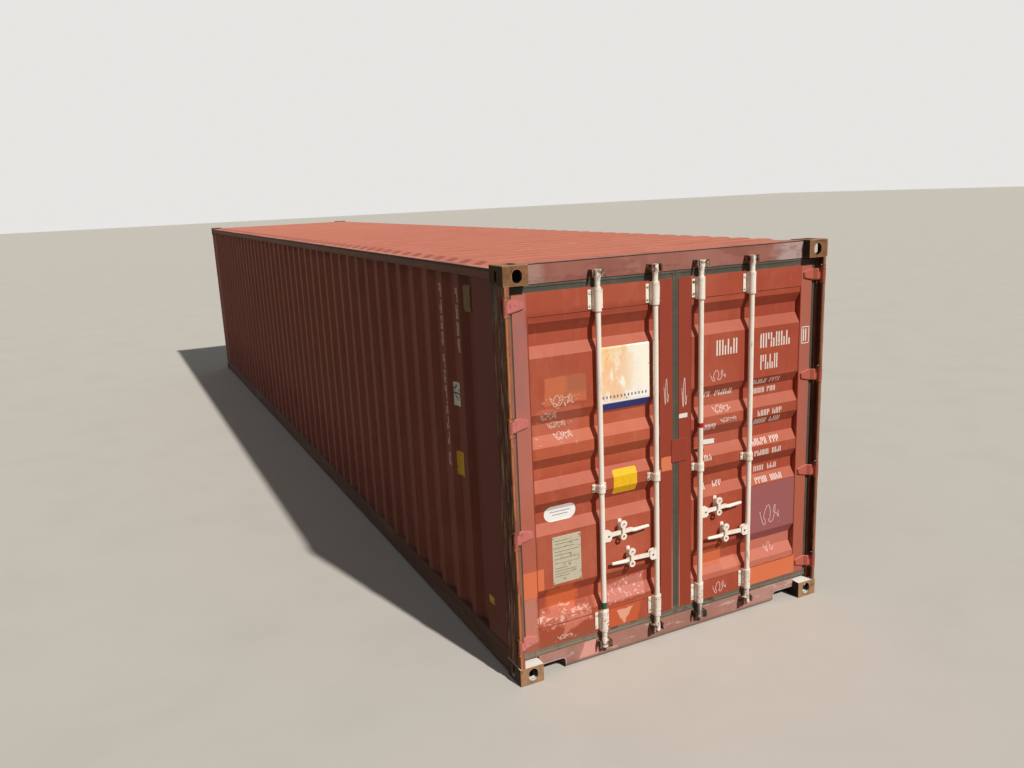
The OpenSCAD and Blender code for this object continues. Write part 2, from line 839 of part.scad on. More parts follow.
module floor_boards() {
  floor_half = post_x - rail_flange;
  floor_l = front_face_y - top_rail + rail_half_l;
  color(brown) translate([0, -rail_half_l, floor_top - floor_t]) difference() {
    union() {
      translate([-floor_half, 0, 0])
        cube([2 * floor_half, front_face_y - front_post_d + rail_half_l, floor_t]);
      translate([-clear_half_w, 0, 0]) cube([2 * clear_half_w, floor_l, floor_t]);
    }
    translate([-board_joint / 2, -1, floor_t - board_joint])
      cube([board_joint, floor_l + 2, board_joint + 1]);
    for (y = [board_l : board_l : floor_l - 1])
      translate([-post_x, y - board_joint / 2, floor_t - board_joint])
        cube([2 * post_x, board_joint, board_joint + 1]);
  }
}

// Door leaves, drawn for the right-hand door
module leaf_ring(x0, x1, z0, z1, inset) {
  translate([x0 + inset, z0 + inset]) square([x1 - x0 - 2 * inset, z1 - z0 - 2 * inset]);
}

module door_frame(s) {
  color(red) at_side(s) difference() {
    along_y(face_y, face_y + leaf_t) difference() {
      leaf_ring(seam_half, leaf_outer, leaf_low, leaf_top, 0);
      leaf_ring(panel_in, panel_out, panel_low, panel_top, 0);
    }
    along_y(face_y + leaf_wall, face_y + leaf_t - leaf_wall) difference() {
      leaf_ring(seam_half, leaf_outer, leaf_low, leaf_top, leaf_wall);
      leaf_ring(panel_in, panel_out, panel_low, panel_top, -leaf_wall);
    }
  }
}

module door_panel(s) {
  color(red) at_side(s) along_x(panel_in, panel_out)
    translate([face_y + sheet_t, 0]) mirror([1, -1]) sheet(recess_path, sheet_t);
}

module door_gasket(s) {
  xs = [gasket_gap + bead_in, gasket_side - bead_in];
  zs = [gasket_low + bead_in, gasket_top - bead_in];
  color(rubber) at_side(s) {
    along_y(gasket_y, gasket_y + gasket_t) difference() {
      leaf_ring(gasket_gap, gasket_side, gasket_low, gasket_top, 0);
      leaf_ring(seam_half, leaf_outer, leaf_low, leaf_top, 0);
    }
    translate([0, face_y + bead_back + bead_r, 0]) {
      for (x = xs) translate([x, 0, zs[0]]) cylinder(r = bead_r, h = zs[1] - zs[0]);
      for (z = zs) translate([xs[0], 0, z]) rotate([0, 90, 0]) cylinder(r = bead_r, h = xs[1] - xs[0]);
      for (x = xs, z = zs) translate([x, 0, z]) sphere(bead_r);
    }
  }
}

// Hinge blade's plan from the pin to the leaf, as distances inward and back, t thick at the leaf
module blade_plan(t) {
  stile = pin_x - leaf_outer;
  back = face_y - pin_y;
  back_flat = pin_back + blade_t;
  crank_to = crank_from + crank_flat;
  circle(eye_r);
  polygon([[0, 0], [-2, blade_t], [eye_r, back_flat], [crank_to, back_flat], [stile - crank_step, back],
    [stile + blade_leaf, back], [stile + blade_leaf, back - t], [stile, back - t],
    [crank_to + crank_step, back_flat - t], [crank_from, back_flat - t], [blade_t, blade_t / 3]]);
}

// Hinge blade's front view, tapering from the leaf's edge to the tip, drawn in by the given bevel
module blade_front(bevel) {
  stile = pin_x - leaf_outer;
  tip = stile + blade_leaf - bevel;
  h = blade_h / 2 - bevel;
  tip_h = blade_tip_h / 2 - bevel / 2;
  polygon([[-eye_r, h], [stile, h], [tip - blade_tip, tip_h + blade_tip / 2], [tip, tip_h],
    [tip, -tip_h], [tip - blade_tip, -tip_h - blade_tip / 2], [stile, -h], [-eye_r, -h]]);
}

module blade(t, bevel) {
  intersection() {
    linear_extrude(blade_h, center = true) blade_plan(t);
    along_y(-eye_r - 1, face_y - pin_y + 1) blade_front(bevel);
  }
}

module door_hinges(s) {
  color(red) at_side(s) for (z = hinge_z) translate([pin_x, pin_y, z]) {
    mirror([1, 0, 0]) {
      blade(blade_t, blade_bevel);
      blade(blade_t - blade_bevel / 2, 0);
    }
    cylinder(r = pin_r, h = 2 * pin_reach, center = true);
    for (k = [-1, 1]) translate([0, 0, k * (pin_reach + pin_head_h / 2)])
      cylinder(r = eye_r, h = pin_head_h, center = true);
  }
}

// A bearing bracket round a bar: its plate, its cap and the cap's collars, seated behind the leaf's face
module bearing(h, w, cap, seat) {
  difference() {
    union() {
      translate([-w / 2, bar_out - bracket_t, -h / 2]) cube([w, bracket_t + seat, h]);
      cylinder(r = cap_r - cap_step, h = cap, center = true);
      translate([-cap_r + cap_step, 0, -cap / 2]) cube([2 * (cap_r - cap_step), bar_out, cap]);
      for (k = [-1, 1]) translate([0, 0, k * (cap - cap_collar) / 2]) {
        cylinder(r = cap_r, h = cap_collar, center = true);
        translate([-cap_r, 0, -cap_collar / 2]) cube([2 * cap_r, bar_out, cap_collar]);
      }
    }
    cylinder(r = bar_r + running_gap, h = cap + 2, center = true);
    translate([-w, bar_out + seat, -cap]) cube([2 * w, 2 * bar_out, 2 * cap]);
  }
}

module bar_brackets(s) {
  color(cream) at_side(s) for (x = bar_x) translate([x, bar_y, 0]) {
    for (z = bracket_z) translate([0, 0, z]) bearing(bracket_h, bracket_w, cap_h, 0);
    translate([0, 0, guide_z]) bearing(guide_h, guide_w, guide_h, sheet_t);
  }
}

// Bar i of a side is 0 for the outer and 1 for the inner bar; one bar of each side has the upper handle
function is_upper(s, i) = s < 0 ? i == 0 : i == 1;
function fitting_z(s, i) = is_upper(s, i) ? handle_z[0] : handle_z[1];
function catch_reach(s, i) = is_upper(s, i) ? catch_from_bar[0] : catch_from_bar[1];
// Height of the tongue's middle above its rivet at a distance from the bar's axis
function tongue_at(x) = tongue_rise * (x - rivet_x) / (bend_x - rivet_x);

// Puts a fitting at a bar and turns it towards the other bar of its door
module at_bar(s, i, z) {
  at_side(s) translate([bar_x[i], 0, z]) mirror([i == 0 ? 1 : 0, 0, 0]) children();
}

module handle_seats(s) {
  shelf_l = face_y - catch_y - running_gap;
  pin_l = face_y - catch_y + catch_t + running_gap;
  color(cream) for (i = [0, 1])
    at_bar(s, i, fitting_z(s, i)) translate([catch_reach(s, i), face_y, 0]) {
      shelf_half = seat_w / 2 - shelf_in;
      shelf_top = tongue_at(catch_reach(s, i) - shelf_half) - tongue_h / 2 - running_gap;
      along_y(-seat_t, sheet_t)
        translate([-seat_w / 2, seat_low]) soft_square(seat_w, seat_top - seat_low, seat_r);
      translate([-shelf_half, -shelf_l, shelf_top - shelf_h])
        cube([2 * shelf_half, shelf_l, shelf_h]);
      translate([0, 0, catch_pivot]) rotate([90, 0, 0]) difference() {
        union() {
          cylinder(r = pivot_r, h = pin_l + 1);
          translate([0, 0, pin_l]) cylinder(r = pivot_flange_r, h = head_t);
        }
        translate([0, 0, pin_l + head_t - hollow_d]) cylinder(r = pivot_hollow, h = hollow_d + 1);
      }
    }
}

module catch_plate(s, i) {
  color(cream) at_bar(s, i, fitting_z(s, i)) translate([catch_reach(s, i), 0, 0])
    along_y(catch_y - catch_t, catch_y) difference() {
      union() {
        translate([0, catch_pivot]) circle(catch_eye);
        translate([-catch_neck / 2, -ring_drop]) square([catch_neck, catch_pivot + ring_drop]);
        translate([0, -ring_drop]) circle(catch_ring);
      }
      translate([0, catch_pivot]) circle(pivot_r + running_gap);
      translate([0, -ring_drop]) circle(ring_hole);
    }
}

module lap_plate() {
  color(red) translate([-lap_reach, face_y, lap_z]) linear_extrude(lap_h)
    polygon([[0, 0], [0, lap_bevel - lap_t], [lap_bevel, -lap_t], [lap_w - lap_bevel, -lap_t],
      [lap_w, lap_bevel - lap_t], [lap_w, 0]]);
}

// Locking bar with its cams and handle hub
module cam() {
  linear_extrude(cam_h) {
    circle(cam_r);
    intersection() {
      circle(lobe_r);
      polygon([[0, 0], 2 * lobe_r * [cos(lobe_back), sin(lobe_back)], [2 * lobe_r, 0],
        2 * lobe_r * [cos(lobe_front), sin(lobe_front)]]);
    }
  }
  translate([0, 0, cam_h]) difference() {
    cylinder(r1 = cam_r, r2 = bar_r, h = boss_taper);
    cylinder(r = bar_r - bar_wall, h = boss_taper);
  }
}

module ear_outline() {
  half = hub_h / 2;
  polygon([[0, -half], [hub_reach - ear_cut, -half], [hub_reach, ear_cut - half], [hub_reach, half - ear_cut],
    [hub_reach - ear_cut, half], [0, half]]);
}

module hub() {
  difference() {
    union() {
      for (y = [ear_front, ear_back]) along_y(y - bar_y, y - bar_y + ear_t) ear_outline();
      along_y(ear_front - bar_y + 1, ear_back - bar_y + 1)
        translate([0, -hub_h / 2]) square([bar_r + 2, hub_h]);
    }
    cylinder(r = bar_r - bar_wall, h = hub_h + 2, center = true);
  }
  translate([rivet_x, ear_back + ear_t - bar_y, 0]) rotate([90, 0, 0])
    cylinder(r = rivet_r, h = ear_back + ear_t - ear_front + head_t);
}

module locking_bar(s, i) {
  color(cream) {
    at_bar(s, i, fitting_z(s, i)) translate([0, bar_y, 0]) hub();
    at_bar(s, i, 0) translate([0, bar_y, 0]) {
      translate([0, 0, cam_low + cam_h]) difference() {
        cylinder(r = bar_r, h = cam_top - cam_low - 2 * cam_h);
        cylinder(r = bar_r - bar_wall, h = cam_top - cam_low - 2 * cam_h);
      }
      translate([0, 0, cam_low]) cam();
      translate([0, 0, cam_top]) mirror([0, 0, 1]) cam();
    }
  }
}

// Forged handle: a flat tongue with an eye, a flat bend, and a round grip that tapers to its end
module handle_outline() {
  half = tongue_h / 2;
  end_half = bend_h / 2;
  translate([rivet_x, 0]) circle(tongue_r);
  polygon([[rivet_x, -half], [bend_x, tongue_rise - half], [grip_x, -grip_drop - end_half],
    [grip_x + bend_lap, -grip_drop - end_half], [grip_x + bend_lap, end_half - grip_drop],
    [grip_x, end_half - grip_drop], [bend_x, tongue_rise + half], [rivet_x, half]]);
}

module handle(s, i) {
  run = [handle_l - grip_x, grip_rise + grip_drop];
  grip_l = norm(run) - grip_chamfer;
  color(cream) at_bar(s, i, fitting_z(s, i)) translate([0, handle_y, 0]) {
    difference() {
      along_y(-tongue_t / 2, tongue_t / 2) handle_outline();
      translate([rivet_x, 0, 0]) rotate([90, 0, 0])
        cylinder(r = rivet_r + running_gap, h = tongue_t + 2, center = true);
    }
    translate([grip_x, 0, -grip_drop]) rotate([0, 90 - atan2(run[1], run[0]), 0]) {
      translate([0, 0, -bend_l]) cylinder(r1 = bend_r, r2 = grip_r, h = bend_l);
      cylinder(r1 = grip_r, r2 = grip_end_r, h = grip_l);
      translate([0, 0, grip_l]) cylinder(r1 = grip_end_r, r2 = grip_end_r - grip_chamfer, h = grip_chamfer);
    }
  }
}

casting(-1, -1, false);  // casting_rear_low_left
casting(1, -1, false);  // casting_rear_low_right
casting(-1, -1, true);  // casting_rear_top_left
casting(1, -1, true);  // casting_rear_top_right
casting(-1, 1, false);  // casting_front_low_left
casting(1, 1, false);  // casting_front_low_right
casting(-1, 1, true);  // casting_front_top_left
casting(1, 1, true);  // casting_front_top_right
rear_post(-1);  // rear_post_left
rear_post(1);  // rear_post_right
front_posts();
door_header();
door_sill();
cam_keepers();
front_top_rail();
front_bottom_rail();
roof_end_plates();
top_rail_side(-1);  // top_rail_left
top_rail_side(1);  // top_rail_right
bottom_rail_side(-1);  // bottom_rail_left
bottom_rail_side(1);  // bottom_rail_right
side_wall(-1);  // side_wall_left
side_wall(1);  // side_wall_right
front_wall();
roof();
ventilators();
crossmembers();
outriggers(-1);  // outriggers_left
outriggers(1);  // outriggers_right
gooseneck_tunnel();
floor_boards();
door_frame(-1);  // door_frame_left
door_frame(1);  // door_frame_right
door_panel(-1);  // door_panel_left
door_panel(1);  // door_panel_right
door_gasket(-1);  // door_gasket_left
door_gasket(1);  // door_gasket_right
door_hinges(-1);  // door_hinges_left
door_hinges(1);  // door_hinges_right
bar_brackets(-1);  // bar_brackets_left
bar_brackets(1);  // bar_brackets_right
handle_seats(-1);  // handle_seats_left
handle_seats(1);  // handle_seats_right
lap_plate();
locking_bar(-1, 0);  // locking_bar_1
locking_bar(-1, 1);  // locking_bar_2
locking_bar(1, 1);  // locking_bar_3
locking_bar(1, 0);  // locking_bar_4
handle(-1, 0);  // handle_1
handle(-1, 1);  // handle_2
handle(1, 1);  // handle_3
handle(1, 0);  // handle_4
catch_plate(-1, 0);  // catch_1
catch_plate(-1, 1);  // catch_2
catch_plate(1, 1);  // catch_3
catch_plate(1, 0);  // catch_4
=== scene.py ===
# A used forty-foot shipping container, dressed in faded paint, rust, wear and its small fittings
import json
import math
import random

import bmesh
import bpy
from mathutils import Matrix, Vector
from mathutils.bvhtree import BVHTree


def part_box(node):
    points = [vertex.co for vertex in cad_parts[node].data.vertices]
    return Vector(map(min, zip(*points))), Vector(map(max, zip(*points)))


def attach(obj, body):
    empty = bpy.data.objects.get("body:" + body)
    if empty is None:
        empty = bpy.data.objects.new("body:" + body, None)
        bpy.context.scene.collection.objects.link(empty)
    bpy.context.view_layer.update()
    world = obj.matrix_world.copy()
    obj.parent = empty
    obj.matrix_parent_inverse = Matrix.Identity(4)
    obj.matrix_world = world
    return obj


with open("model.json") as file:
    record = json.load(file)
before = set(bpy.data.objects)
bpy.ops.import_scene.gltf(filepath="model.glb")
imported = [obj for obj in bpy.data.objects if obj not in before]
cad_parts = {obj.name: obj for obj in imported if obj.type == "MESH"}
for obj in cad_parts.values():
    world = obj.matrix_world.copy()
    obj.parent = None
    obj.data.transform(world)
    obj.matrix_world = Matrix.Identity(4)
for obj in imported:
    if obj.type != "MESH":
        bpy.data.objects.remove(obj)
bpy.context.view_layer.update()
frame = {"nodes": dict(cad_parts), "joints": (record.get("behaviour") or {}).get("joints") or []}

nodes = frame["nodes"]
joints = {j["name"]: j for j in frame["joints"]}

# Half the container's own sizes
HALF_WIDTH = 1.219
HALF_LENGTH = 6.096
HALF_HEIGHT = 1.2955

# Camera, solved from the corners of the container in the photograph
CAMERA_AT = (-3.23098, -10.32025, 2.985)
CAMERA_AZIMUTH = 25.7928
CAMERA_DOWN = 12.7624
CAMERA_ROLL = -2.5468
LENS = 29.725

# Light, low from the right of the doors, so that the left side wall lies in shade
SUN_DIRECTION = (0.172, -0.718, 0.674)
SUN_STRENGTH = 3.55
SUN_WIDTH = 1.5
SUN_COLOUR = (1.0, 0.975, 0.94)
SKY = 0.16
SKY_COLOUR = (0.90, 0.95, 1.0)
BACKGROUND = (0.80, 0.79, 0.77)
FLOOR_SEEN = (206, 200, 190)
FLOOR_BOUNCE = (112, 98, 80)

# Paints, as they show on a screen
BRICK = (173, 81, 58)
BRICK_DEEP = (146, 61, 45)
BRICK_PALE = (198, 116, 92)
MAUVE = (184, 114, 98)
ORANGE = (222, 120, 80)
PURPLE = (158, 94, 93)
WALL_RED = (138, 78, 64)
ROOF_RED = (201, 125, 102)
CREAM = (250, 240, 225)
RUBBER = (89, 84, 74)
RUST = (128, 70, 42)
RUST_DARK = (74, 46, 34)
RUST_ORANGE = (190, 112, 62)
DUST = (176, 152, 126)
WHITE = (238, 236, 230)

# Sockets of a mix node: what lies under, what lies over, and the result
COLOUR_SOCKETS = (6, 7, 2)
NUMBER_SOCKETS = (2, 3, 0)


def ink(colour):
    """A colour given as it shows on a screen, from 0 to 255, in the renderer's linear values."""
    def linear(c):
        c /= 255
        return c / 12.92 if c <= 0.04045 else ((c + 0.055) / 1.055) ** 2.4
    return (*[linear(c) for c in colour], 1.0)


class NodeTree:
    """A tree of nodes, with short ways to add to it."""

    def __init__(self, tree):
        self.tree = tree

    def add(self, kind, settings=None, **inputs):
        """A new node. An input is named with _ for a space, and is a value or another node's output."""
        node = self.tree.nodes.new(kind)
        for key, value in (settings or {}).items():
            setattr(node, key, value)
        for key, value in inputs.items():
            self.put(node.inputs[key.replace("_", " ")], value)
        return node

    def put(self, socket, value):
        if isinstance(value, bpy.types.NodeSocket):
            self.tree.links.new(value, socket)
        else:
            socket.default_value = value

    def calc(self, operation, a, b=0.0):
        """The result of a math node."""
        node = self.add("ShaderNodeMath", {"operation": operation})
        self.put(node.inputs[0], a)
        self.put(node.inputs[1], b)
        return node.outputs[0]


class Finish(NodeTree):
    """One finish, built up in coats. A coat covers what lies under it where its mask is 1."""

    def __init__(self, name, colour, rough=0.75, metal=0.0, gloss=0.2):
        self.material = bpy.data.materials.new(name)
        self.material.use_nodes = True
        super().__init__(self.material.node_tree)
        self.shader = self.tree.nodes["Principled BSDF"].inputs
        self.put(self.shader["Metallic"], metal)
        self.put(self.shader["Specular IOR Level"], gloss)
        where = self.add("ShaderNodeTexCoord").outputs
        self.place = where["Object"]
        self.x, self.y, self.z = self.add("ShaderNodeSeparateXYZ", Vector=self.place).outputs
        self.out = self.calc("ABSOLUTE", self.x)
        self.facing = self.add("ShaderNodeSeparateXYZ", Vector=where["Normal"]).outputs
        self.colour = ink(colour)
        self.rough = rough
        self.height = 0.0

    def both(self, *masks):
        """1 where all the masks are 1."""
        result = masks[0]
        for mask in masks[1:]:
            result = self.calc("MULTIPLY", result, mask)
        return result

    def over(self, value, low, high):
        """0 where value is under low, 1 where it is over high, or the other way round if low is larger."""
        return self.add("ShaderNodeMapRange", {"interpolation_type": "SMOOTHSTEP"}, Value=value,
                        From_Min=low, From_Max=high).outputs[0]

    def noise(self, size, stretch=(1, 1, 1), detail=3.0, shift=0.0):
        """Cloudy values about 0.5. Size is in metres, and stretch lengthens the clouds along an axis."""
        spread = self.add("ShaderNodeMapping", Vector=self.place, Location=(shift, shift, shift),
                          Scale=[1 / (size * s) for s in stretch])
        cloud = self.add("ShaderNodeTexNoise", Vector=spread.outputs[0], Scale=1.0, Detail=detail,
                         Roughness=0.62)
        return cloud.outputs[0]

    def clouds(self, low, high, *noise, **more_noise):
        """1 inside clouds of noise: 0 where it is under low, 1 where it is over high."""
        return self.over(self.noise(*noise, **more_noise), low, high)

    def spot(self, outline, soft=0.004, ragged=0.01, grain=0.05, across=None):
        """1 inside an outline on an upright face, with a soft and ragged edge.

        The outline is a box, as low and high across and low and high up, or a list of the corners of a
        convex form, against the clock. Grain is the length of the edge's waves.
        """
        across = self.x if across is None else across
        if isinstance(outline, tuple):
            a0, a1, b0, b1 = outline
            outline = [(a0, b0), (a1, b0), (a1, b1), (a0, b1)]
        outside = None
        for (a0, b0), (a1, b1) in zip(outline, outline[1:] + outline[:1]):
            length = math.hypot(a1 - a0, b1 - b0)
            na, nb = (b1 - b0) / length, (a0 - a1) / length
            past = self.calc("ADD", self.calc("MULTIPLY", across, na), self.calc("MULTIPLY", self.z, nb))
            past = self.calc("SUBTRACT", past, na * a0 + nb * b0)
            outside = past if outside is None else self.calc("MAXIMUM", outside, past)
        wander = self.calc("MULTIPLY", self.calc("SUBTRACT", self.noise(grain), 0.5), 4 * ragged)
        return self.over(self.calc("ADD", outside, wander), soft, -soft)

    def edges(self, radius):
        """1 near the sharp edges of a piece."""
        bevel = self.add("ShaderNodeBevel", {"samples": 4}, Radius=radius).outputs[0]
        flat = self.add("ShaderNodeNewGeometry").outputs["Normal"]
        turn = self.add("ShaderNodeVectorMath", {"operation": "DOT_PRODUCT"})
        self.put(turn.inputs[0], bevel)
        self.put(turn.inputs[1], flat)
        return self.over(turn.outputs["Value"], 0.995, 0.90)

    def mix(self, mask, under, over, sockets, **settings):
        """Two colours or two numbers, mixed by a mask."""
        node = self.add("ShaderNodeMix", settings)
        under_socket, over_socket, result = sockets
        self.put(node.inputs[0], mask)
        self.put(node.inputs[under_socket], under)
        self.put(node.inputs[over_socket], over)
        return node.outputs[result]

    def coat(self, mask, colour, strength=1.0, rough=None, height=0.0):
        """Paints over everything so far inside a mask, or where several masks in brackets are all 1."""
        if isinstance(mask, tuple):
            mask = self.both(*mask)
        if strength != 1.0:
            mask = self.calc("MULTIPLY", mask, strength)
        self.colour = self.mix(mask, self.colour, ink(colour), COLOUR_SOCKETS, data_type="RGBA")
        if rough is not None:
            self.rough = self.mix(mask, self.rough, rough, NUMBER_SOCKETS, data_type="FLOAT")
        if height:
            self.height = self.calc("ADD", self.height, self.calc("MULTIPLY", mask, height))

    def shade(self, value, low, high, dark):
        """Darkens or lightens everything so far: from no change at low to the factor dark at high."""
        self.colour = self.mix(self.over(value, low, high), self.colour, (dark, dark, dark, 1),
                               COLOUR_SOCKETS, data_type="RGBA", blend_type="MULTIPLY")

    def roughen(self, depth, *noise, **more_noise):
        """Starts the height with fine dimples, some metres deep."""
        self.height = self.calc("MULTIPLY", self.noise(*noise, **more_noise), depth)

    def done(self):
        """Connects the coats to the shader, with the heights as bumps in metres."""
        self.put(self.shader["Base Color"], self.colour)
        self.put(self.shader["Roughness"], self.rough)
        if self.height != 0.0:
            bump = self.add("ShaderNodeBump", Height=self.height, Strength=1.0, Distance=1.0)
            self.put(self.shader["Normal"], bump.outputs[0])
        return self.material


def old_paint(name, colour, rough, chalk, fade=0.3, grime=0.86, streak=0.9):
    """Paint with sun-faded clouds, fine mottling, runs of dirt down the sheet and a light orange peel."""
    f = Finish(name, colour, rough)
    f.coat(f.clouds(0.42, 0.72, 0.5, detail=3), chalk, fade)
    f.coat(f.clouds(0.5, 0.75, 0.06, (1, 1, 2.5), shift=3.1), chalk, fade * 0.8)
    f.shade(f.noise(0.04, (1, 1, 12), shift=7.7), 0.5, 0.78, streak)
    f.shade(f.noise(0.3, shift=1.3), 0.52, 0.8, grime)
    f.shade(f.noise(0.008, detail=1, shift=2.2), 0.55, 0.8, 0.94)
    f.roughen(0.0005, 0.012, detail=2)
    return f


def rust_spots(f, size=0.05, amount=0.70, strength=0.9):
    """Small chips where rust shows, each with a stain below it."""
    f.coat(f.clouds(amount, amount + 0.09, size, (1, 1, 6), shift=5.5), RUST_ORANGE, 0.4 * strength)
    f.coat(f.clouds(amount, amount + 0.03, size * 0.5, detail=6, shift=9.1), RUST_DARK, strength,
           rough=0.95, height=-0.0004)


def with_rust(f, size, amount, radius, colour, strength):
    """Ends a finish with rust spots and bare edges."""
    rust_spots(f, size, amount)
    f.coat(f.edges(radius), colour, strength)
    return f.done()


def scratches(f, where, colour, strength, size=0.03, lean=(2.5, 1, 1), amount=0.58, shift=0.0):
    """Scuffed paint inside a mask, in short strokes along an axis."""
    f.coat((where, f.clouds(amount, amount + 0.06, size, lean, 6, shift)), colour, strength, rough=0.85,
           height=0.0002)


def left_leaf_wear(f):
    """Touched-up patches, bruises and scrapes of the left door, from its head to its foot."""
    head_strip = f.spot((-1.05, -0.12, 2.235, 2.30), 0.03, 0.01, 0.2)
    f.coat(head_strip, BRICK_DEEP, 0.7)
    faded_middle = f.spot((-1.04, -0.20, 1.32, 1.69), 0.06, 0.03, 0.2)
    f.coat(faded_middle, ORANGE, 0.22)
    old_label = f.spot((-0.949, -0.664, 1.741, 1.907), 0.006, 0.006, 0.06)
    f.coat(old_label, (206, 116, 78), 0.75)
    label_corner = f.spot((-0.80, -0.64, 1.80, 1.915), 0.02, 0.02, 0.08)
    f.coat((label_corner, old_label), (150, 96, 74), 0.5)
    under_label = f.spot((-1.02, -0.70, 1.50, 1.72), 0.02, 0.02, 0.1)
    f.coat(under_label, BRICK_PALE, 0.45)
    scuffs = f.spot((-1.0, -0.68, 1.48, 1.80), 0.02, 0.03)
    scratches(f, scuffs, (228, 186, 168), 0.5, amount=0.60, shift=1.2)
    stile_patch = f.spot((-1.144, -0.998, 0.538, 0.713), 0.002, 0.003)
    f.coat(stile_patch, ORANGE)
    stile_foot = f.spot((-1.15, -1.045, 0.16, 0.535), 0.01, 0.01)
    f.coat(stile_foot, (198, 132, 112), 0.75)
    seam_patch = f.spot((-0.113, -0.031, 1.175, 1.269), 0.002, 0.003)
    f.coat(seam_patch, (226, 130, 88), 0.9)
    low = f.spot((-1.054, -0.640, 0.186, 0.574), 0.012, 0.012, 0.08)
    f.coat(low, (166, 78, 56), 0.9)
    low_rail = f.spot((-1.144, -0.64, 0.17, 0.235), 0.01, 0.01)
    f.coat(low_rail, (158, 84, 62), 0.8)
    orange_slope = f.spot([(-0.985, 0.43), (-0.77, 0.36), (-0.74, 0.50), (-0.80, 0.57), (-0.97, 0.57)],
                          0.015, 0.02)
    f.coat(orange_slope, (208, 100, 58), 0.9)
    scrape = f.spot([(-1.055, 0.33), (-0.90, 0.30), (-0.68, 0.31), (-0.69, 0.45), (-0.80, 0.50),
                     (-0.92, 0.44), (-1.055, 0.47)], 0.02, 0.03)
    f.coat(scrape, (206, 118, 96), 0.7)
    scratches(f, scrape, (236, 184, 164), 0.9, 0.035, (1.5, 1, 1), 0.52, 4.4)
    scratches(f, scrape, (250, 224, 208), 0.8, 0.02, (2.5, 1, 1), 0.62, 8.2)
    scrape_tail = f.spot([(-0.886, 0.225), (-0.70, 0.30), (-0.68, 0.34), (-0.82, 0.34)], 0.01, 0.01)
    f.coat(scrape_tail, (214, 130, 106), 0.75)
    scratches(f, low, (214, 140, 120), 0.6, 0.03, (1, 1, 2), 0.62, 2.8)
    beside_bar = f.spot((-0.622, -0.560, 0.18, 0.50), 0.01, 0.012)
    f.coat(beside_bar, (212, 116, 84), 0.8)
    pink_slope = f.spot([(-0.53, 0.35), (-0.25, 0.36), (-0.24, 0.50), (-0.53, 0.47)], 0.012, 0.012)
    f.coat(pink_slope, (202, 126, 112), 0.85)
    scratches(f, pink_slope, (246, 208, 194), 0.8, 0.02, (1, 1, 1.6), 0.57, 1.6)
    orange_foot = f.spot([(-0.53, 0.165), (-0.32, 0.165), (-0.27, 0.33), (-0.53, 0.325)], 0.01, 0.01)
    f.coat(orange_foot, (204, 96, 58), 0.85)
    chipped_triangle = f.spot([(-0.415, 0.19), (-0.355, 0.29), (-0.475, 0.29)], 0.006, 0.008)
    f.coat(chipped_triangle, (238, 178, 150), 0.8)


# Patches of the right door: box, softness and raggedness of the edge, length of its waves, colour, strength
RIGHT_PATCHES = (
    ((0.642, 1.05, 0.505, 0.921), 0.003, 0.003, 0.05, PURPLE, 0.95),
    ((0.639, 1.046, 0.325, 0.505), 0.006, 0.005, 0.05, (200, 120, 102), 0.8),
    ((0.639, 1.060, 0.150, 0.325), 0.003, 0.003, 0.05, ORANGE, 0.95),
    ((0.230, 0.408, 0.418, 0.531), 0.003, 0.003, 0.05, (208, 108, 70), 0.95),
    ((0.40, 0.53, 0.35, 0.44), 0.006, 0.006, 0.05, (206, 124, 100), 0.8),
    ((0.13, 0.55, 0.318, 0.41), 0.01, 0.01, 0.05, (206, 122, 100), 0.6),
    ((0.20, 0.56, 1.24, 1.62), 0.03, 0.02, 0.15, BRICK_PALE, 0.3),
    ((0.60, 1.04, 1.95, 2.24), 0.03, 0.02, 0.15, BRICK_DEEP, 0.25),
)


def right_leaf_wear(f):
    """Touched-up patches of the right door."""
    for box, soft, ragged, grain, colour, strength in RIGHT_PATCHES:
        f.coat(f.spot(box, soft, ragged, grain), colour, strength)


def door_paint(name, side, part):
    """Brick-red paint of one door's frame or panel, with fades, touched-up patches, scuffs, and painted
    light and shade on the panel's slopes and by its stiles.
    """
    f = old_paint(name, BRICK if side < 0 else (168, 76, 54), 0.6, BRICK_PALE, 0.35 if side < 0 else 0.25)
    if part == "frame":
        outer_stile = f.over(f.out, 1.05, 1.054)
        f.coat(outer_stile, MAUVE if side < 0 else (176, 104, 86), 0.85)
        f.coat((outer_stile, f.clouds(0.5, 0.65, 0.2, (1, 1, 3), shift=4.4)), (152, 108, 108), 0.5)
        f.coat((outer_stile, f.over(f.z, 1.35, 0.85)), (180, 94, 70), 0.7)
        f.coat(f.over(f.out, 0.121, 0.119), BRICK_DEEP, 0.85)
        f.coat((f.over(f.out, 0.036, 0.030), f.over(f.z, 0.9, 0.4)), (206, 152, 134), 0.6)
    else:
        # Up-facing slopes of the panel paler pink, painted light with a little dust; down-facing slopes
        # darker, painted shade.
        f.coat(f.over(f.facing[2], 0.2, 0.5), (206, 130, 108), 0.35)
        f.shade(f.facing[2], -0.2, -0.5, 0.85)
        # The panel darker within 2 cm of the stiles, painted shade where its hollows end, broken into runs
        # by clouds.
        edge = f.calc("MINIMUM", f.calc("SUBTRACT", f.out, 0.122), f.calc("SUBTRACT", 1.046, f.out))
        f.coat((f.over(edge, 0.02, 0.0), f.clouds(0.4, 0.6, 0.08, (1, 1, 4), shift=2.1)), (134, 62, 44),
               0.6)
    if side < 0:
        left_leaf_wear(f)
    else:
        right_leaf_wear(f)
    inner = f.over(f.facing[1], 0.15, 0.35)
    f.coat(inner, (150, 84, 66))
    f.coat((inner, f.clouds(0.48, 0.66, 0.2, (1, 1, 2), 4, 3.6)), (174, 108, 88), 0.6)
    f.coat((inner, f.clouds(0.60, 0.70, 0.05, (2, 1, 1), 5, 7.2)), (116, 66, 50), 0.6)
    return with_rust(f, 0.04, 0.73, 0.004, BRICK_PALE, 0.5)


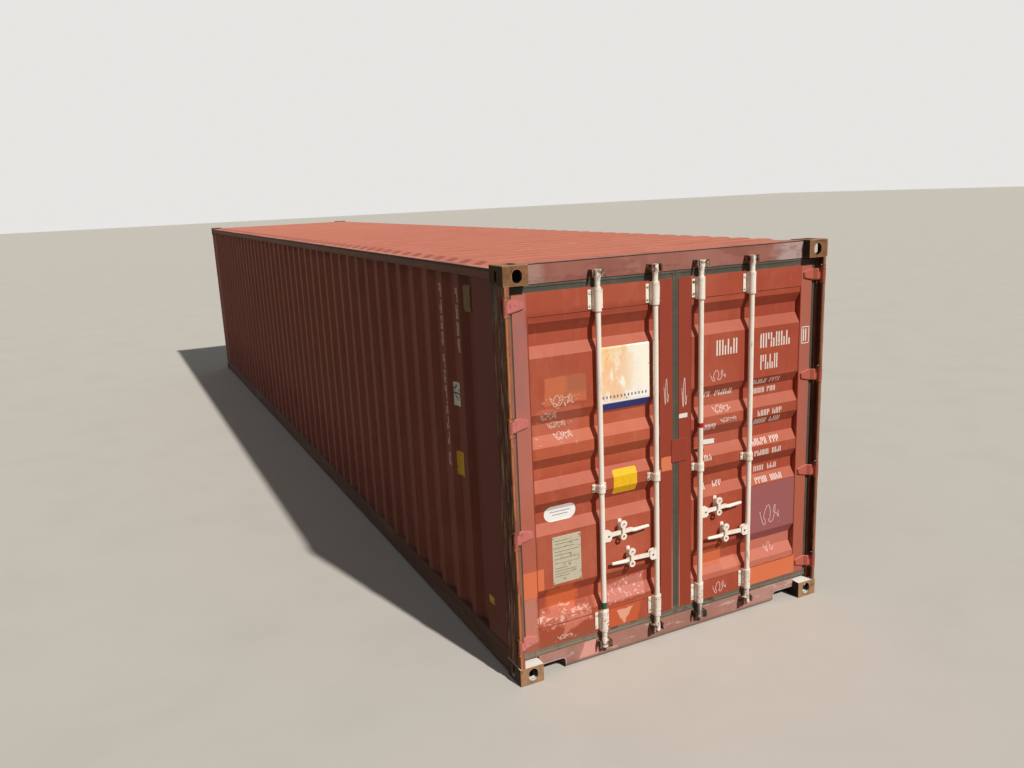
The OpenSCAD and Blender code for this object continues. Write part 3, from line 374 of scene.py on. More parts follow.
def header_paint(name):
    """Mauve header, greyer and paler towards its ends, bruised and chipped."""
    f = old_paint(name, (158, 102, 89), 0.7, (174, 124, 112), 0.4, 0.8)
    left_end = f.over(f.x, -0.90, -0.98)
    f.coat(left_end, (170, 136, 126), 0.85)
    right_end = f.over(f.x, 0.74, 0.90)
    f.coat((right_end, f.clouds(0.2, 0.4, 0.1, (2, 1, 1), shift=2.0)), (184, 160, 154), 0.9)
    f.coat(f.clouds(0.54, 0.62, 0.2, (3, 1, 1), 4, 6.3), (134, 80, 70), 0.5)
    low_edge = f.over(f.z, 2.512, 2.506)
    f.coat((low_edge, f.clouds(0.45, 0.6, 0.05, (3, 1, 1), 4, 1.4)), (120, 76, 66), 0.5)
    return with_rust(f, 0.05, 0.70, 0.004, RUST_DARK, 0.5)


def sill_paint(name):
    """Mauve sill, scraped and dusty, with pale rims round the lift notches and one pink patch."""
    f = old_paint(name, (174, 122, 110), 0.75, (196, 152, 138), 0.5, 0.75)
    f.coat(f.over(f.x, 0.3, 0.8), (190, 146, 134), 0.6)
    dirty_middle = f.spot((-0.40, 0.30, 0.0, 0.14), 0.05, 0.03, 0.2)
    f.coat(dirty_middle, (154, 112, 98), 0.6)
    pink_patch = f.spot([(-0.765, 0.03), (-0.625, 0.03), (-0.632, 0.137), (-0.72, 0.137)], 0.006, 0.006)
    f.coat(pink_patch, (226, 160, 148), 0.95)
    scratches(f, f.over(f.z, 0.0, 0.02), (206, 186, 172), 0.6, 0.04, (4, 1, 1), 0.58, 3.3)
    notch_rims = (f.over(f.y, -6.0362, -6.0368), f.over(f.out, 0.84, 0.85))
    f.coat(notch_rims, (196, 176, 174), 0.9)
    muddy_foot, ledge = f.over(f.z, 0.040, 0.018), f.over(f.facing[2], 0.5, 0.8)
    f.coat(muddy_foot, (120, 96, 80), 0.6)
    f.coat(ledge, DUST, 0.6)
    return with_rust(f, 0.05, 0.68, 0.004, RUST_DARK, 0.5)


def rail_paint(name, colour, chalk):
    """Side rails and end plates: chalky paint gone grey, with rust along the edges, and painted shadow under
    the roof's edge and on the faces towards the doors.
    """
    f = old_paint(name, colour, 0.75, chalk, 0.5, 0.75, 0.8)
    f.coat(f.clouds(0.52, 0.62, 0.15, (1, 6, 1), 4, 6.3), (112, 92, 78), 0.5)
    # A dark band just under the roof's edge, a painted shadow.
    shadow_line_under_roof = (f.over(f.z, 2.545, 2.552), f.over(f.z, 2.566, 2.564))
    f.coat(shadow_line_under_roof, (48, 34, 28), 0.85)
    # Faces at the door end that look towards the doors, darkened: a painted shadow line under the roof's
    # edge.
    shadow_at_door_end = (f.over(f.facing[1], -0.5, -0.8), f.over(f.y, -6.0, -6.03))
    f.coat(shadow_at_door_end, (56, 36, 30), 0.9)
    return with_rust(f, 0.05, 0.66, 0.004, RUST, 0.6)


def roof_paint(name):
    """Sun-bleached roof with fine runs across it, pale scuffs, dust in the low margins and painted shade on
    the slopes of its ridges.
    """
    f = old_paint(name, ROOF_RED, 0.72, (212, 142, 120), 0.4, 0.86, 0.95)
    far_half = f.over(f.y, -3.5, 4.0)
    f.coat(far_half, (214, 142, 118), 0.45)
    f.shade(f.noise(0.02, (30, 1, 1), 4, 2.4), 0.46, 0.72, 0.74)
    f.coat(f.clouds(0.62, 0.70, 0.03, (8, 1, 1), 5, 6.1), (232, 176, 154), 0.5)
    # The slopes of the roof's ridges darker, painted shade: darker still on those turned away from the
    # doors.
    near_slopes, far_slopes = f.over(f.facing[1], -0.08, -0.3), f.over(f.facing[1], 0.08, 0.3)
    f.coat(near_slopes, (164, 88, 70), 0.6)
    f.coat(far_slopes, (140, 74, 58), 0.6)
    margin, ridge_ends = f.over(f.out, 1.14, 1.17), f.over(f.calc("ABSOLUTE", f.facing[0]), 0.08, 0.3)
    f.coat(margin, (208, 142, 126), 0.6)
    f.coat(ridge_ends, (140, 76, 60), 0.65)
    outer_margin, rim = f.over(f.out, 1.16, 1.18), f.over(f.out, 1.195, 1.205)
    f.coat((outer_margin, f.clouds(0.45, 0.6, 0.3, (1, 2, 1), 3, 5.0)), (142, 88, 74), 0.7)
    f.coat((rim, f.clouds(0.4, 0.6, 0.05, (1, 3, 1))), (170, 112, 92), 0.6)
    rust_spots(f, 0.04, 0.71)
    return f.done()


def wall_paint(name):
    """Dull red-brown side wall with rust runs, scuffs, a dusty foot, painted light on the faces turned away
    from the doors and a painted shadow under the top rail.
    """
    f = old_paint(name, WALL_RED, 0.72, (154, 94, 78), 0.45, 0.75, 0.82)
    bright_middle = (f.over(f.y, -4.6, -1.5), f.over(f.z, 0.5, 0.9))
    f.coat(bright_middle, (160, 98, 80), 0.5)
    beside_doors = f.over(f.y, -5.0, -5.7)
    f.coat(beside_doors, (98, 50, 38), 0.7)
    f.coat(f.clouds(0.58, 0.72, 0.05, (1, 1, 14), 4, 3.3), (104, 54, 38), 0.6)
    # Faces turned away from the doors made lighter, painted light.
    f.shade(f.facing[1], 0.2, 0.5, 1.15)
    rust_spots(f, 0.05, 0.70)
    # The foot paler with dust; the head darker, a painted shadow of the top rail broken up by clouds.
    foot, head = f.over(f.z, 0.42, 0.18), f.over(f.z, 2.40, 2.50)
    f.coat((foot, f.clouds(0.35, 0.6, 0.2, (1, 2, 1))), (128, 92, 72), 0.4)
    f.coat((head, f.clouds(0.4, 0.6, 0.1, (1, 2, 1), shift=3.0)), (92, 56, 44), 0.6)
    stain = f.spot((3.50, 3.64, 1.10, 1.40), 0.06, 0.03, 0.1, across=f.y)
    f.coat((stain, f.over(f.facing[0], -0.1, -0.3), f.over(f.x, 0.0, -1.0)), (34, 22, 18), 0.8)
    f.coat(f.edges(0.003), (166, 108, 90), 0.35)
    return f.done()


def under_paint(name):
    """Black-brown underseal with rust and road dirt."""
    f = old_paint(name, (72, 52, 44), 0.85, (92, 68, 54), 0.5, 0.6, 0.8)
    f.coat(f.clouds(0.56, 0.66, 0.12, detail=5, shift=4.0), RUST, 0.7, rough=0.95, height=0.0004)
    f.coat(f.clouds(0.5, 0.7, 0.4, shift=6.0), (120, 104, 84), 0.4)
    return f.done()


def post_paint(name):
    """Rear posts: a lip with a rusty edge, and a side worn to streaks like the grain of old wood."""
    f = old_paint(name, (148, 90, 70), 0.8, (176, 118, 98), 0.4, 0.75, 0.8)
    left_post, right_post = f.over(f.x, 0.0, -1.0), f.over(f.x, 0.0, 1.0)
    f.coat(right_post, (136, 102, 84), 0.6)
    f.coat((left_post, f.over(f.out, 1.186, 1.182)), (136, 108, 98), 0.75)
    f.coat((right_post, f.over(f.out, 1.192, 1.188)), (84, 76, 66), 0.9)
    f.coat(f.clouds(0.54, 0.64, 0.03, (1, 1, 9), 4, 5.2), (110, 66, 50), 0.7)
    behind_lip = f.over(f.y, -6.088, -6.084)
    f.coat(behind_lip, (112, 58, 44), 0.85)
    lip_edge = f.both(f.over(f.out, 1.199, 1.206), f.over(f.y, -6.086, -6.090))
    f.coat((lip_edge, f.clouds(0.38, 0.50, 0.03, (1, 1, 4), 5, 2.9)), (204, 130, 76), 0.95,
           height=-0.0003)
    side = f.over(f.calc("ABSOLUTE", f.facing[0]), 0.75, 0.92)
    f.coat(side, (124, 76, 54), 0.95)
    f.coat((side, f.clouds(0.44, 0.60, 0.045, (1, 1, 9), 5, 7.7)), (72, 46, 34), 0.85, rough=0.9)
    grain = f.clouds(0.53, 0.62, 0.014, (1, 1, 17), 6, 1.7)
    f.coat((side, grain), (176, 140, 112), 0.4, height=0.0002)
    f.coat((side, grain, left_post), (206, 182, 156), 0.75)
    f.coat((side, f.clouds(0.57, 0.63, 0.016, (1, 1, 13), 6, 6.7)), (36, 24, 18), 0.9, height=-0.0003)
    rim = f.both(side, f.over(f.y, -6.078, -6.090), f.clouds(0.42, 0.52, 0.02, (1, 1, 3), 5, 4.1))
    f.coat(rim, (196, 116, 62), 0.9, height=-0.0003)
    head = f.over(f.z, 1.9, 2.4)
    f.coat((side, head, f.clouds(0.4, 0.6, 0.1, (1, 1, 3))), (96, 100, 92), 0.5)
    return with_rust(f, 0.03, 0.66, 0.003, RUST_ORANGE, 0.45)


def casting_metal(name):
    """Cast corners under tan rust, dark on their sides, with dusty tops, worn edges and painted shade inside
    their holes.
    """
    f = Finish(name, (158, 116, 78), 0.82)
    f.roughen(0.0012, 0.006, detail=4)
    f.coat(f.clouds(0.42, 0.62, 0.08), (168, 104, 60), 0.8, rough=0.92)
    f.coat(f.clouds(0.50, 0.70, 0.03, (1, 1, 3), 5, 4.7), (96, 62, 42), 0.7)
    f.coat(f.clouds(0.56, 0.72, 0.05, detail=5, shift=2.6), (200, 166, 136), 0.6)
    low_castings, top_castings = f.over(f.z, 0.2, 0.1), f.over(f.z, 2.45, 2.46)
    f.coat(low_castings, (180, 146, 114), 0.5)
    f.coat(top_castings, (118, 82, 56), 0.55)
    f.coat(f.clouds(0.46, 0.70, 0.05, detail=4, shift=8.8), (84, 58, 40), 0.6, rough=0.95)
    sides = f.over(f.calc("ABSOLUTE", f.facing[0]), 0.7, 0.9)
    f.coat(sides, (58, 48, 34), 0.9)
    level = f.calc("ABSOLUTE", f.calc("SUBTRACT", f.z, HALF_HEIGHT))
    depth = f.calc("MINIMUM", f.calc("SUBTRACT", HALF_WIDTH, f.out),
                   f.calc("SUBTRACT", HALF_LENGTH, f.calc("ABSOLUTE", f.y)))
    # Inside the corner holes darker: dark rust with painted shade.
    inside = (f.over(depth, 0.008, 0.014), f.over(level, 1.182, 1.187), f.over(level, 1.289, 1.284))
    f.coat(inside, (50, 36, 26), 0.9)
    level_faces = f.over(f.facing[2], 0.5, 0.8)
    f.coat((level_faces, f.over(f.z, 0.13, 0.12)), (250, 246, 238), 0.9)
    f.coat((level_faces, f.over(f.z, 2.5, 2.55)), (170, 132, 104), 0.7)
    f.coat(f.edges(0.008), (196, 160, 124), 0.5, rough=0.5)
    return f.done()


def keeper_metal(name):
    """Cam keepers under old paint and rust."""
    f = Finish(name, (140, 106, 92), 0.8)
    f.roughen(0.001, 0.006, detail=3)
    f.coat(f.clouds(0.42, 0.52, 0.03, detail=5), (84, 58, 46), 0.9, rough=0.95)
    f.coat(f.clouds(0.60, 0.66, 0.02, shift=3.0), (210, 192, 172), 0.7)
    dirty = f.both(f.over(f.x, 0.04, 0.10), f.over(f.x, 0.32, 0.26), f.over(f.z, 0.3, 0.2))
    f.coat(dirty, (48, 42, 38), 0.85)
    return f.done()


def gasket_rubber(name):
    """Aged grey rubber: dark at the top, pale and scraped along the bottom."""
    f = Finish(name, RUBBER, 0.65)
    f.roughen(0.0003, 0.004, detail=2)
    f.coat(f.over(f.z, 2.42, 2.44), (76, 74, 65), 0.8)
    f.coat(f.over(f.out, 1.12, 1.15), (86, 78, 70), 0.7)
    foot = f.over(f.z, 0.21, 0.19)
    f.coat(foot, (112, 102, 88), 0.9)
    f.coat((foot, f.over(f.x, 0.0, -0.5)), (140, 122, 106), 0.7)
    scratches(f, foot, (70, 62, 54), 0.8, 0.05, (3, 1, 1), 0.56, 2.2)
    f.coat(f.clouds(0.5, 0.7, 0.12, (2, 1, 2), 3), (118, 110, 98), 0.4)
    f.coat(f.clouds(0.60, 0.70, 0.02, (1, 1, 5), 4, 4.2), (92, 68, 54), 0.6)
    f.shade(f.noise(0.05, shift=1.8), 0.5, 0.75, 0.8)
    return f.done()


def bar_paint(name):
    """Cream paint of the bars, brackets and handles, chipped to rust and dirty in runs."""
    f = Finish(name, CREAM, 0.5, gloss=0.4)
    f.coat(f.clouds(0.5, 0.72, 0.05, (1, 1, 6)), (226, 212, 192), 0.5)
    f.shade(f.noise(0.02, (1, 1, 4), 3, 3.8), 0.52, 0.75, 0.88)
    f.coat(f.clouds(0.67, 0.73, 0.03, (1, 1, 5), 5, 2.2), (164, 116, 84), 0.7)
    low, high = f.over(f.z, 0.18, 0.13), f.over(f.z, 2.45, 2.50)
    ends = f.calc("MAXIMUM", low, high)
    f.coat((ends, f.clouds(0.46, 0.58, 0.02, detail=5, shift=1.1)), (120, 78, 54), 0.85)
    dirty = f.both(f.over(f.x, 0.04, 0.10), f.over(f.x, 0.32, 0.26), f.over(f.z, 0.20, 0.17))
    f.coat((dirty, f.clouds(0.36, 0.48, 0.02, detail=4, shift=3.9)), (52, 46, 42), 0.9)
    f.coat(f.clouds(0.67, 0.70, 0.012, detail=5, shift=6.6), (110, 72, 50), 0.9, height=-0.0003)
    sleeve = f.over(f.z, 0.37, 0.30)
    f.coat((sleeve, f.clouds(0.57, 0.62, 0.014, detail=5, shift=4.6)), (122, 92, 72), 0.8)
    f.coat((sleeve, f.clouds(0.48, 0.66, 0.05, (1, 1, 3), 3, 5.9)), (214, 196, 176), 0.6)
    f.coat(f.edges(0.003), (168, 134, 106), 0.5)
    return f.done()


def hinge_paint(name):
    """Hinge blades: pink and bruised on the left door, brick on the right, with paler tops, a painted
    highlight.
    """
    f = old_paint(name, (198, 112, 106), 0.7, (216, 144, 134), 0.4, 0.85, 0.92)
    f.coat(f.over(f.z, 0.34, 0.30), (216, 132, 124), 0.7)
    f.coat(f.clouds(0.56, 0.64, 0.03, detail=4, shift=3.7), (150, 88, 90), 0.6)
    f.coat(f.over(f.x, 0.0, 0.1), (186, 96, 76), 0.9)
    # Up-facing tops paler, a painted highlight.
    f.coat(f.over(f.facing[2], 0.4, 0.7), (226, 160, 146), 0.8)
    f.coat(f.edges(0.004), (170, 90, 70), 0.5)
    f.coat(f.over(f.out, 1.192, 1.20), RUST, 0.5)
    return f.done()


def vent_paint(name):
    """Olive-brown ventilator hoods."""
    f = old_paint(name, (142, 116, 84), 0.75, (150, 128, 96), 0.5, 0.7, 0.8)
    rust_spots(f, 0.02, 0.62)
    return f.done()


def plywood(name):
    """Worn floor boards: grain along each board, tyre marks and pale scuffs."""
    f = Finish(name, (132, 96, 66), 0.65)
    f.coat(f.clouds(0.45, 0.65, 0.01, (1, 40, 1), 3), (98, 68, 46), 0.7)
    f.coat(f.clouds(0.55, 0.7, 0.25, (1, 6, 1), 3, 2.0), (70, 56, 44), 0.6)
    f.coat(f.clouds(0.63, 0.68, 0.03, (1, 9, 1), 5, 5.0), (176, 146, 110), 0.5)
    f.roughen(0.0005, 0.004, (1, 30, 1))
    return f.done()


def plain(name, colour, rough=0.6, metal=0.0, worn=None, amount=0.6):
    """A finish for a small piece, with fine mottling and, if asked, a worn-through colour."""
    f = Finish(name, colour, rough, metal)
    f.shade(f.noise(0.02, detail=3), 0.45, 0.8, 0.85)
    f.shade(f.noise(0.003, detail=1), 0.5, 0.8, 0.94)
    if worn:
        f.coat(f.clouds(amount, amount + 0.05, 0.025, (1.5, 1.5, 1), 6, 3.0), worn)
    return f.done()


def paint_nodes():
    """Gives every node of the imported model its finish."""
    rail = rail_paint("rail_grey_red", (122, 84, 70), (134, 100, 84))
    plate = rail_paint("end_plate_red", (178, 122, 106), (196, 142, 124))
    foot = rail_paint("bottom_rail_dark", (88, 62, 52), (104, 80, 68))
    wall = wall_paint("wall_red_brown")
    under = under_paint("underseal")
    cream = bar_paint("bar_cream")
    rubber = gasket_rubber("gasket_grey")
    finishes = {
        "casting": casting_metal("casting_rust"), "rear_post": post_paint("post_rust_and_paint"),
        "front_post": wall, "door_header": header_paint("header_mauve"),
        "door_sill": sill_paint("sill_mauve"), "cam_keepers": keeper_metal("keeper_rust"), "front_": wall,
        "roof_end": plate, "roof": roof_paint("roof_bleached"), "top_rail": rail, "bottom_rail": foot,
        "side_wall": wall, "ventilators": vent_paint("vent_olive"), "crossmembers": under,
        "outriggers": under, "gooseneck": under, "floor": plywood("floor_plywood"),
        "door_gasket": rubber, "door_hinges": hinge_paint("hinge_pink"), "bar_brackets": cream,
        "handle": cream, "locking_bar": cream, "catch": cream,
    }
    for side, sign in (("left", -1), ("right", 1)):
        for part in ("frame", "panel"):
            finishes[f"door_{part}_{side}"] = door_paint(f"door_{part}_{side}_brick", sign, part)
    finishes["lap_plate"] = finishes["door_frame_right"]
    for name, node in nodes.items():
        key = max((k for k in finishes if name.startswith(k)), key=len)
        node.data.materials.clear()
        node.data.materials.append(finishes[key])


def new_object(name, data):
    """A new object of the scene, at the origin."""
    thing = bpy.data.objects.new(name, data)
    bpy.context.scene.collection.objects.link(thing)
    return thing


def build(name, mesh, material, body):
    """Makes a finished mesh a piece of the object that moves with a body."""
    mesh.materials.clear()
    mesh.materials.append(material)
    piece = new_object(name, mesh)
    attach(piece, body)
    return piece


def from_bmesh(name, form):
    """A mesh from a form, with its faces turned outward."""
    bmesh.ops.recalc_face_normals(form, faces=form.faces)
    mesh = bpy.data.meshes.new(name)
    form.to_mesh(mesh)
    form.free()
    return mesh


def close_skin(form, up, down):
    """Closes a thin skin: faces over two like grids of points, one above the other, and round their rim."""
    last_row, last = len(up) - 1, len(up[0]) - 1
    for i in range(last_row):
        for j in range(last):
            form.faces.new((up[i][j], up[i][j + 1], up[i + 1][j + 1], up[i + 1][j]))
            form.faces.new((down[i][j], down[i + 1][j], down[i + 1][j + 1], down[i][j + 1]))
    rim = [(0, j) for j in range(last)] + [(i, last) for i in range(last_row)]
    rim += [(last_row, j) for j in range(last, 0, -1)] + [(i, 0) for i in range(last_row, 0, -1)]
    for (a, b), (c, d) in zip(rim, rim[1:] + rim[:1]):
        form.faces.new((up[a][b], down[a][b], down[c][d], up[c][d]))


# Heights above the paint of thin marks, so that one shows over another
MARK_UP = 0.0006
STROKE_UP = 0.0008
LINE_UP = 0.0009
PLATE_UP = 0.0016
PLATE_LINE_UP = 0.0019
RIVET_UP = 0.003

# The longest stretch of a mark without a point
MARK_STEP = 0.03


class Ground:
    """What thin pieces lie on: some nodes, seen along one direction. Places on it are two coordinates."""

    def __init__(self, names, across, along, inward, outside):
        points, faces = [], []
        for name in names:
            mesh = nodes[name].data
            start = len(points)
            points += [v.co.copy() for v in mesh.vertices]
            faces += [[start + i for i in p.vertices] for p in mesh.polygons]
        self.tree = BVHTree.FromPolygons(points, faces)
        self.across, self.along, self.inward = Vector(across), Vector(along), Vector(inward)
        self.outside = outside
        self.folds = [sorted({round(p.dot(axis), 4) for p in points}) for axis in (self.across, self.along)]

    def at(self, u, v, lift):
        """The point lift in front of the surface. Right on a seam of it, the surface close by counts."""
        for aside in (0.0, 0.0005, -0.0005):
            place = self.across * (u + aside) + self.along * (v + aside)
            hit = self.tree.ray_cast(place - self.inward * self.outside, self.inward)[0]
            if hit:
                return self.across * u + self.along * v + self.inward * (hit.dot(self.inward) - lift)
        raise ValueError(f"Nothing lies at {u:.3f}, {v:.3f}")

    def stops(self, axis, low, high, step):
        """Places from low to high: at the folds of the surface, and no more than a step apart."""
        near = 0.0015
        ends = [low] + [f for f in self.folds[axis] if low + near < f < high - near] + [high]
        places = [low]
        for a, b in zip(ends, ends[1:]):
            parts = max(1, math.ceil((b - a) / step))
            places += [a + (b - a) * k / parts for k in range(1, parts + 1)]
        return places

    def lay(self, form, rows, lift):
        """Adds a thin closed skin over a grid of places."""
        up, down = [[[form.verts.new(self.at(u, v, h)) for u, v in row] for row in rows]
                    for h in (lift, 0.0)]
        close_skin(form, up, down)

    def block(self, form, u0, u1, v0, v1, lift=MARK_UP):
        """A rectangle laid on the surface, folded where the surface folds."""
        columns = self.stops(0, u0, u1, MARK_STEP)
        self.lay(form, [[(u, v) for u in columns] for v in self.stops(1, v0, v1, MARK_STEP)], lift)

    def rounded(self, form, u0, u1, v0, v1, radius, lift=MARK_UP):
        """A rectangle with round corners. Its end rows stay open a little, also on an oval."""
        turns, columns, roundness = 6, 12, 0.999
        ends = [radius * (1 - math.cos(math.pi / 2 * k / turns)) for k in range(turns)]
        heights = [v0 + e for e in ends] + self.stops(1, v0 + radius, v1 - radius, MARK_STEP)
        heights += [v1 - e for e in reversed(ends)]
        rows = []
        for v in heights:
            off = max(0.0, radius - min(v - v0, v1 - v))
            inset = radius - math.sqrt(max(0.0, radius ** 2 - off ** 2)) * roundness
            rows.append([(u0 + inset + (u1 - u0 - 2 * inset) * k / columns, v) for k in range(columns + 1)])
        self.lay(form, rows, lift)

    def stroke(self, form, points, width):
        """A narrow line through some places, with a point wherever it crosses a fold."""
        line = [points[0]]
        for a, b in zip(points, points[1:]):
            cuts = [(fold - a[1]) / (b[1] - a[1]) for fold in self.folds[1]
                    if min(a[1], b[1]) + 1e-4 < fold < max(a[1], b[1]) - 1e-4]
            line += [(a[0] + (b[0] - a[0]) * t, a[1] + (b[1] - a[1]) * t) for t in sorted(cuts)] + [b]
        left, right = [], []
        for i, (u, v) in enumerate(line):
            a, b = line[max(0, i - 1)], line[min(len(line) - 1, i + 1)]
            du, dv = b[0] - a[0], b[1] - a[1]
            size = math.hypot(du, dv) or 1.0
            nu, nv = -dv / size * width / 2, du / size * width / 2
            left.append((u + nu, v + nv))
            right.append((u - nu, v - nv))
        self.lay(form, [left, right], STROKE_UP)

    def scribble(self, form, box, loops, width=0.004):
        """A chalk line that wanders in loops through a box: low and high across, then low and high along."""
        u0, u1, v0, v1 = box
        steps = 14 * loops
        tall = (v1 - v0) / 2
        points = []
        for k in range(steps + 1):
            t = k / steps
            turn = 2 * math.pi * loops * t
            u = u0 + (u1 - u0) * (0.08 + 0.84 * t) + 0.08 * (u1 - u0) * math.sin(turn * 1.5 + 1.0)
            v = v0 + tall + tall * (0.72 * math.sin(turn) + 0.28 * math.sin(turn * 2.3 + 2.0))
            points.append((u, v))
        self.stroke(form, points, width)

    def figures(self, form, box, count, chance):
        """A row of plain upright bars, two to a figure, in place of painted figures."""
        u0, u1, v0, v1 = box
        pitch = (u1 - u0) / count
        bar = min(0.17 * (v1 - v0), 0.24 * pitch)
        for k in range(count):
            u = u0 + k * pitch
            self.block(form, u, u + bar, v0, v1)
            tall = chance.choice((0.45, 1.0, 1.0, 0.6))
            low = chance.choice((v0, v1 - tall * (v1 - v0)))
            self.block(form, u + 0.72 * pitch - bar, u + 0.72 * pitch, low, low + tall * (v1 - v0))


# Where rays towards the doors and towards a side wall start, from the middle of the container
OUTSIDE_DOORS = 6.4
OUTSIDE_WALL = 1.6


def front_ground(*names):
    """Nodes of the door end, seen from in front of the doors."""
    return Ground(names, (1, 0, 0), (0, 0, 1), (0, 1, 0), OUTSIDE_DOORS)


class Shaper(NodeTree):
    """A Geometry Nodes tree that turns places or paths into real pieces."""

    def __init__(self, name, sizes):
        super().__init__(bpy.data.node_groups.new(name, "GeometryNodeTree"))
        self.sizes = sizes
        face = self.tree.interface
        face.new_socket("Places", in_out="INPUT", socket_type="NodeSocketGeometry")
        for size in sizes:
            face.new_socket(size, in_out="INPUT", socket_type="NodeSocketFloat")
        face.new_socket("Pieces", in_out="OUTPUT", socket_type="NodeSocketGeometry")
        self.given = self.add("NodeGroupInput").outputs
        self.places = self.given["Places"]

    def form(self, kind, settings=None, **inputs):
        """The first output of a new node."""
        return self.add(kind, settings, **inputs).outputs[0]

    def disc(self, sides, radius, height):
        """A prism that stands on the origin."""
        prism = self.form("GeometryNodeMeshCylinder", Vertices=sides, Radius=radius, Depth=height)
        lift = self.form("ShaderNodeCombineXYZ", Z=self.calc("MULTIPLY", height, 0.5))
        return self.form("GeometryNodeTransform", Geometry=prism, Translation=lift)

    def spread(self, shapes, towards):
        """Copies of the joined shapes at every place, standing up along a direction."""
        join = self.add("GeometryNodeJoinGeometry")
        for shape in shapes:
            self.put(join.inputs[0], shape)
        turn = Vector((0, 0, 1)).rotation_difference(Vector(towards)).to_euler()
        turned = self.form("GeometryNodeTransform", Geometry=join.outputs[0], Rotation=turn)
        return self.form("GeometryNodeInstanceOnPoints", Points=self.places, Instance=turned)

    def make(self, name, seed, pieces, material, body, slot):
        """Realizes the pieces round a seed mesh and makes them one plain mesh on a body."""
        real = self.form("GeometryNodeRealizeInstances", Geometry=pieces)
        paint = self.form("GeometryNodeSetMaterial", Geometry=real, Material=material)
        self.add("NodeGroupOutput", Pieces=paint)
        holder = new_object(name + "_seed", seed)
        modifier = holder.modifiers.new("shape", "NODES")
        modifier.node_group = self.tree
        for socket in self.tree.interface.items_tree:
            if socket.in_out == "INPUT" and socket.name in self.sizes:
                modifier[socket.identifier] = self.sizes[socket.name]
        evaluated = holder.evaluated_get(bpy.context.evaluated_depsgraph_get())
        mesh = bpy.data.meshes.new_from_object(evaluated)
        bpy.data.objects.remove(holder)
        mesh.name = name
        return build(name, mesh, material, body)


def seed_of(name, points, edges=()):
    """A bare mesh of places, or of paths between them, for a tree to work on."""
    mesh = bpy.data.meshes.new(name + "_places")
    mesh.from_pydata([tuple(p) for p in points], list(edges), [])
    return mesh


def add_bolts(name, places, radius, height, material, body, slot, towards=(0, -1, 0), sides=6):
    """Bolt or screw heads on washers at many places."""
    shaper = Shaper(name, {"Head radius": radius, "Head height": height})
    head, tall = shaper.given["Head radius"], shaper.given["Head height"]
    washer = shaper.disc(14, shaper.calc("MULTIPLY", head, 1.45), shaper.calc("MULTIPLY", tall, 0.3))
    shapes = [shaper.disc(sides, head, tall), washer]
    return shaper.make(name, seed_of(name, places), shaper.spread(shapes, towards), material, body, slot)


def add_beads(name, loop, radius, material, body, slot):
    """A weld bead along a closed loop of points."""
    edges = [(i, (i + 1) % len(loop)) for i in range(len(loop))]
    shaper = Shaper(name, {"Bead radius": radius, "Bead step": radius * 2.2})
    path = shaper.form("GeometryNodeMeshToCurve", Mesh=shaper.places)
    steps = shaper.form("GeometryNodeResampleCurve", {"mode": "LENGTH"}, Curve=path,
                        Length=shaper.given["Bead step"])
    ring = shaper.form("GeometryNodeCurvePrimitiveCircle", Resolution=6, Radius=shaper.given["Bead radius"])
    tube = shaper.form("GeometryNodeCurveToMesh", Curve=steps, Profile_Curve=ring)
    return shaper.make(name, seed_of(name, loop, edges), tube, material, body, slot)


def set_camera():
    """The photograph's camera, turned by its azimuth, its tilt and its roll."""
    lens = bpy.data.cameras.new("camera")
    lens.lens = LENS
    lens.sensor_width = 36
    lens.clip_end = 400
    camera = new_object("camera", lens)
    azimuth, down, roll = (math.radians(v) for v in (CAMERA_AZIMUTH, CAMERA_DOWN, CAMERA_ROLL))
    aim = Matrix.Rotation(-azimuth, 4, "Z") @ Matrix.Rotation(math.pi / 2 - down, 4, "X")
    camera.matrix_world = Matrix.Translation(CAMERA_AT) @ aim @ Matrix.Rotation(roll, 4, "Z")
    bpy.context.scene.camera = camera


def seen_directly(nodes):
    """1 for what the camera sees, also in a reflection or through glass."""
    rays = nodes.add("ShaderNodeLightPath").outputs
    mask = rays["Is Camera Ray"]
    for kind in ("Is Glossy Ray", "Is Transmission Ray"):
        mask = nodes.calc("MAXIMUM", mask, rays[kind])
    return mask


def set_light():
    """A sun, a faint fill from all sides, and a pale background that lights nothing."""
    bpy.context.scene.view_settings.view_transform = "Standard"
    sun = bpy.data.lights.new("sun", "SUN")
    sun.energy = SUN_STRENGTH
    sun.angle = math.radians(SUN_WIDTH)
    sun.color = SUN_COLOUR
    lamp = new_object("sun", sun)
    lamp.rotation_euler = Vector((0, 0, 1)).rotation_difference(Vector(SUN_DIRECTION)).to_euler()
    world = bpy.data.worlds.new("studio")
    world.use_nodes = True
    bpy.context.scene.world = world
    studio = NodeTree(world.node_tree)
    fill = world.node_tree.nodes["Background"]
    studio.put(fill.inputs["Color"], (*SKY_COLOUR, 1))
    studio.put(fill.inputs["Strength"], SKY)
    seen = studio.add("ShaderNodeBackground", Color=(*BACKGROUND, 1))
    mix = studio.add("ShaderNodeMixShader")
    for socket, value in zip(mix.inputs, (seen_directly(studio), fill.outputs[0], seen.outputs[0])):
        studio.put(socket, value)
    studio.put(world.node_tree.nodes["World Output"].inputs["Surface"], mix.outputs[0])


def set_floor():
    """A pale floor, which throws back no more light than dry ground does."""
    form = bmesh.new()
    bmesh.ops.create_grid(form, x_segments=2, y_segments=2, size=150)
    floor = new_object("floor", from_bmesh("floor", form))
    f = Finish("floor_pale", FLOOR_BOUNCE, 0.9)
    f.coat(seen_directly(f), FLOOR_SEEN)
    f.shade(f.noise(0.8, detail=3), 0.4, 0.8, 0.95)
    floor.data.materials.append(f.done())


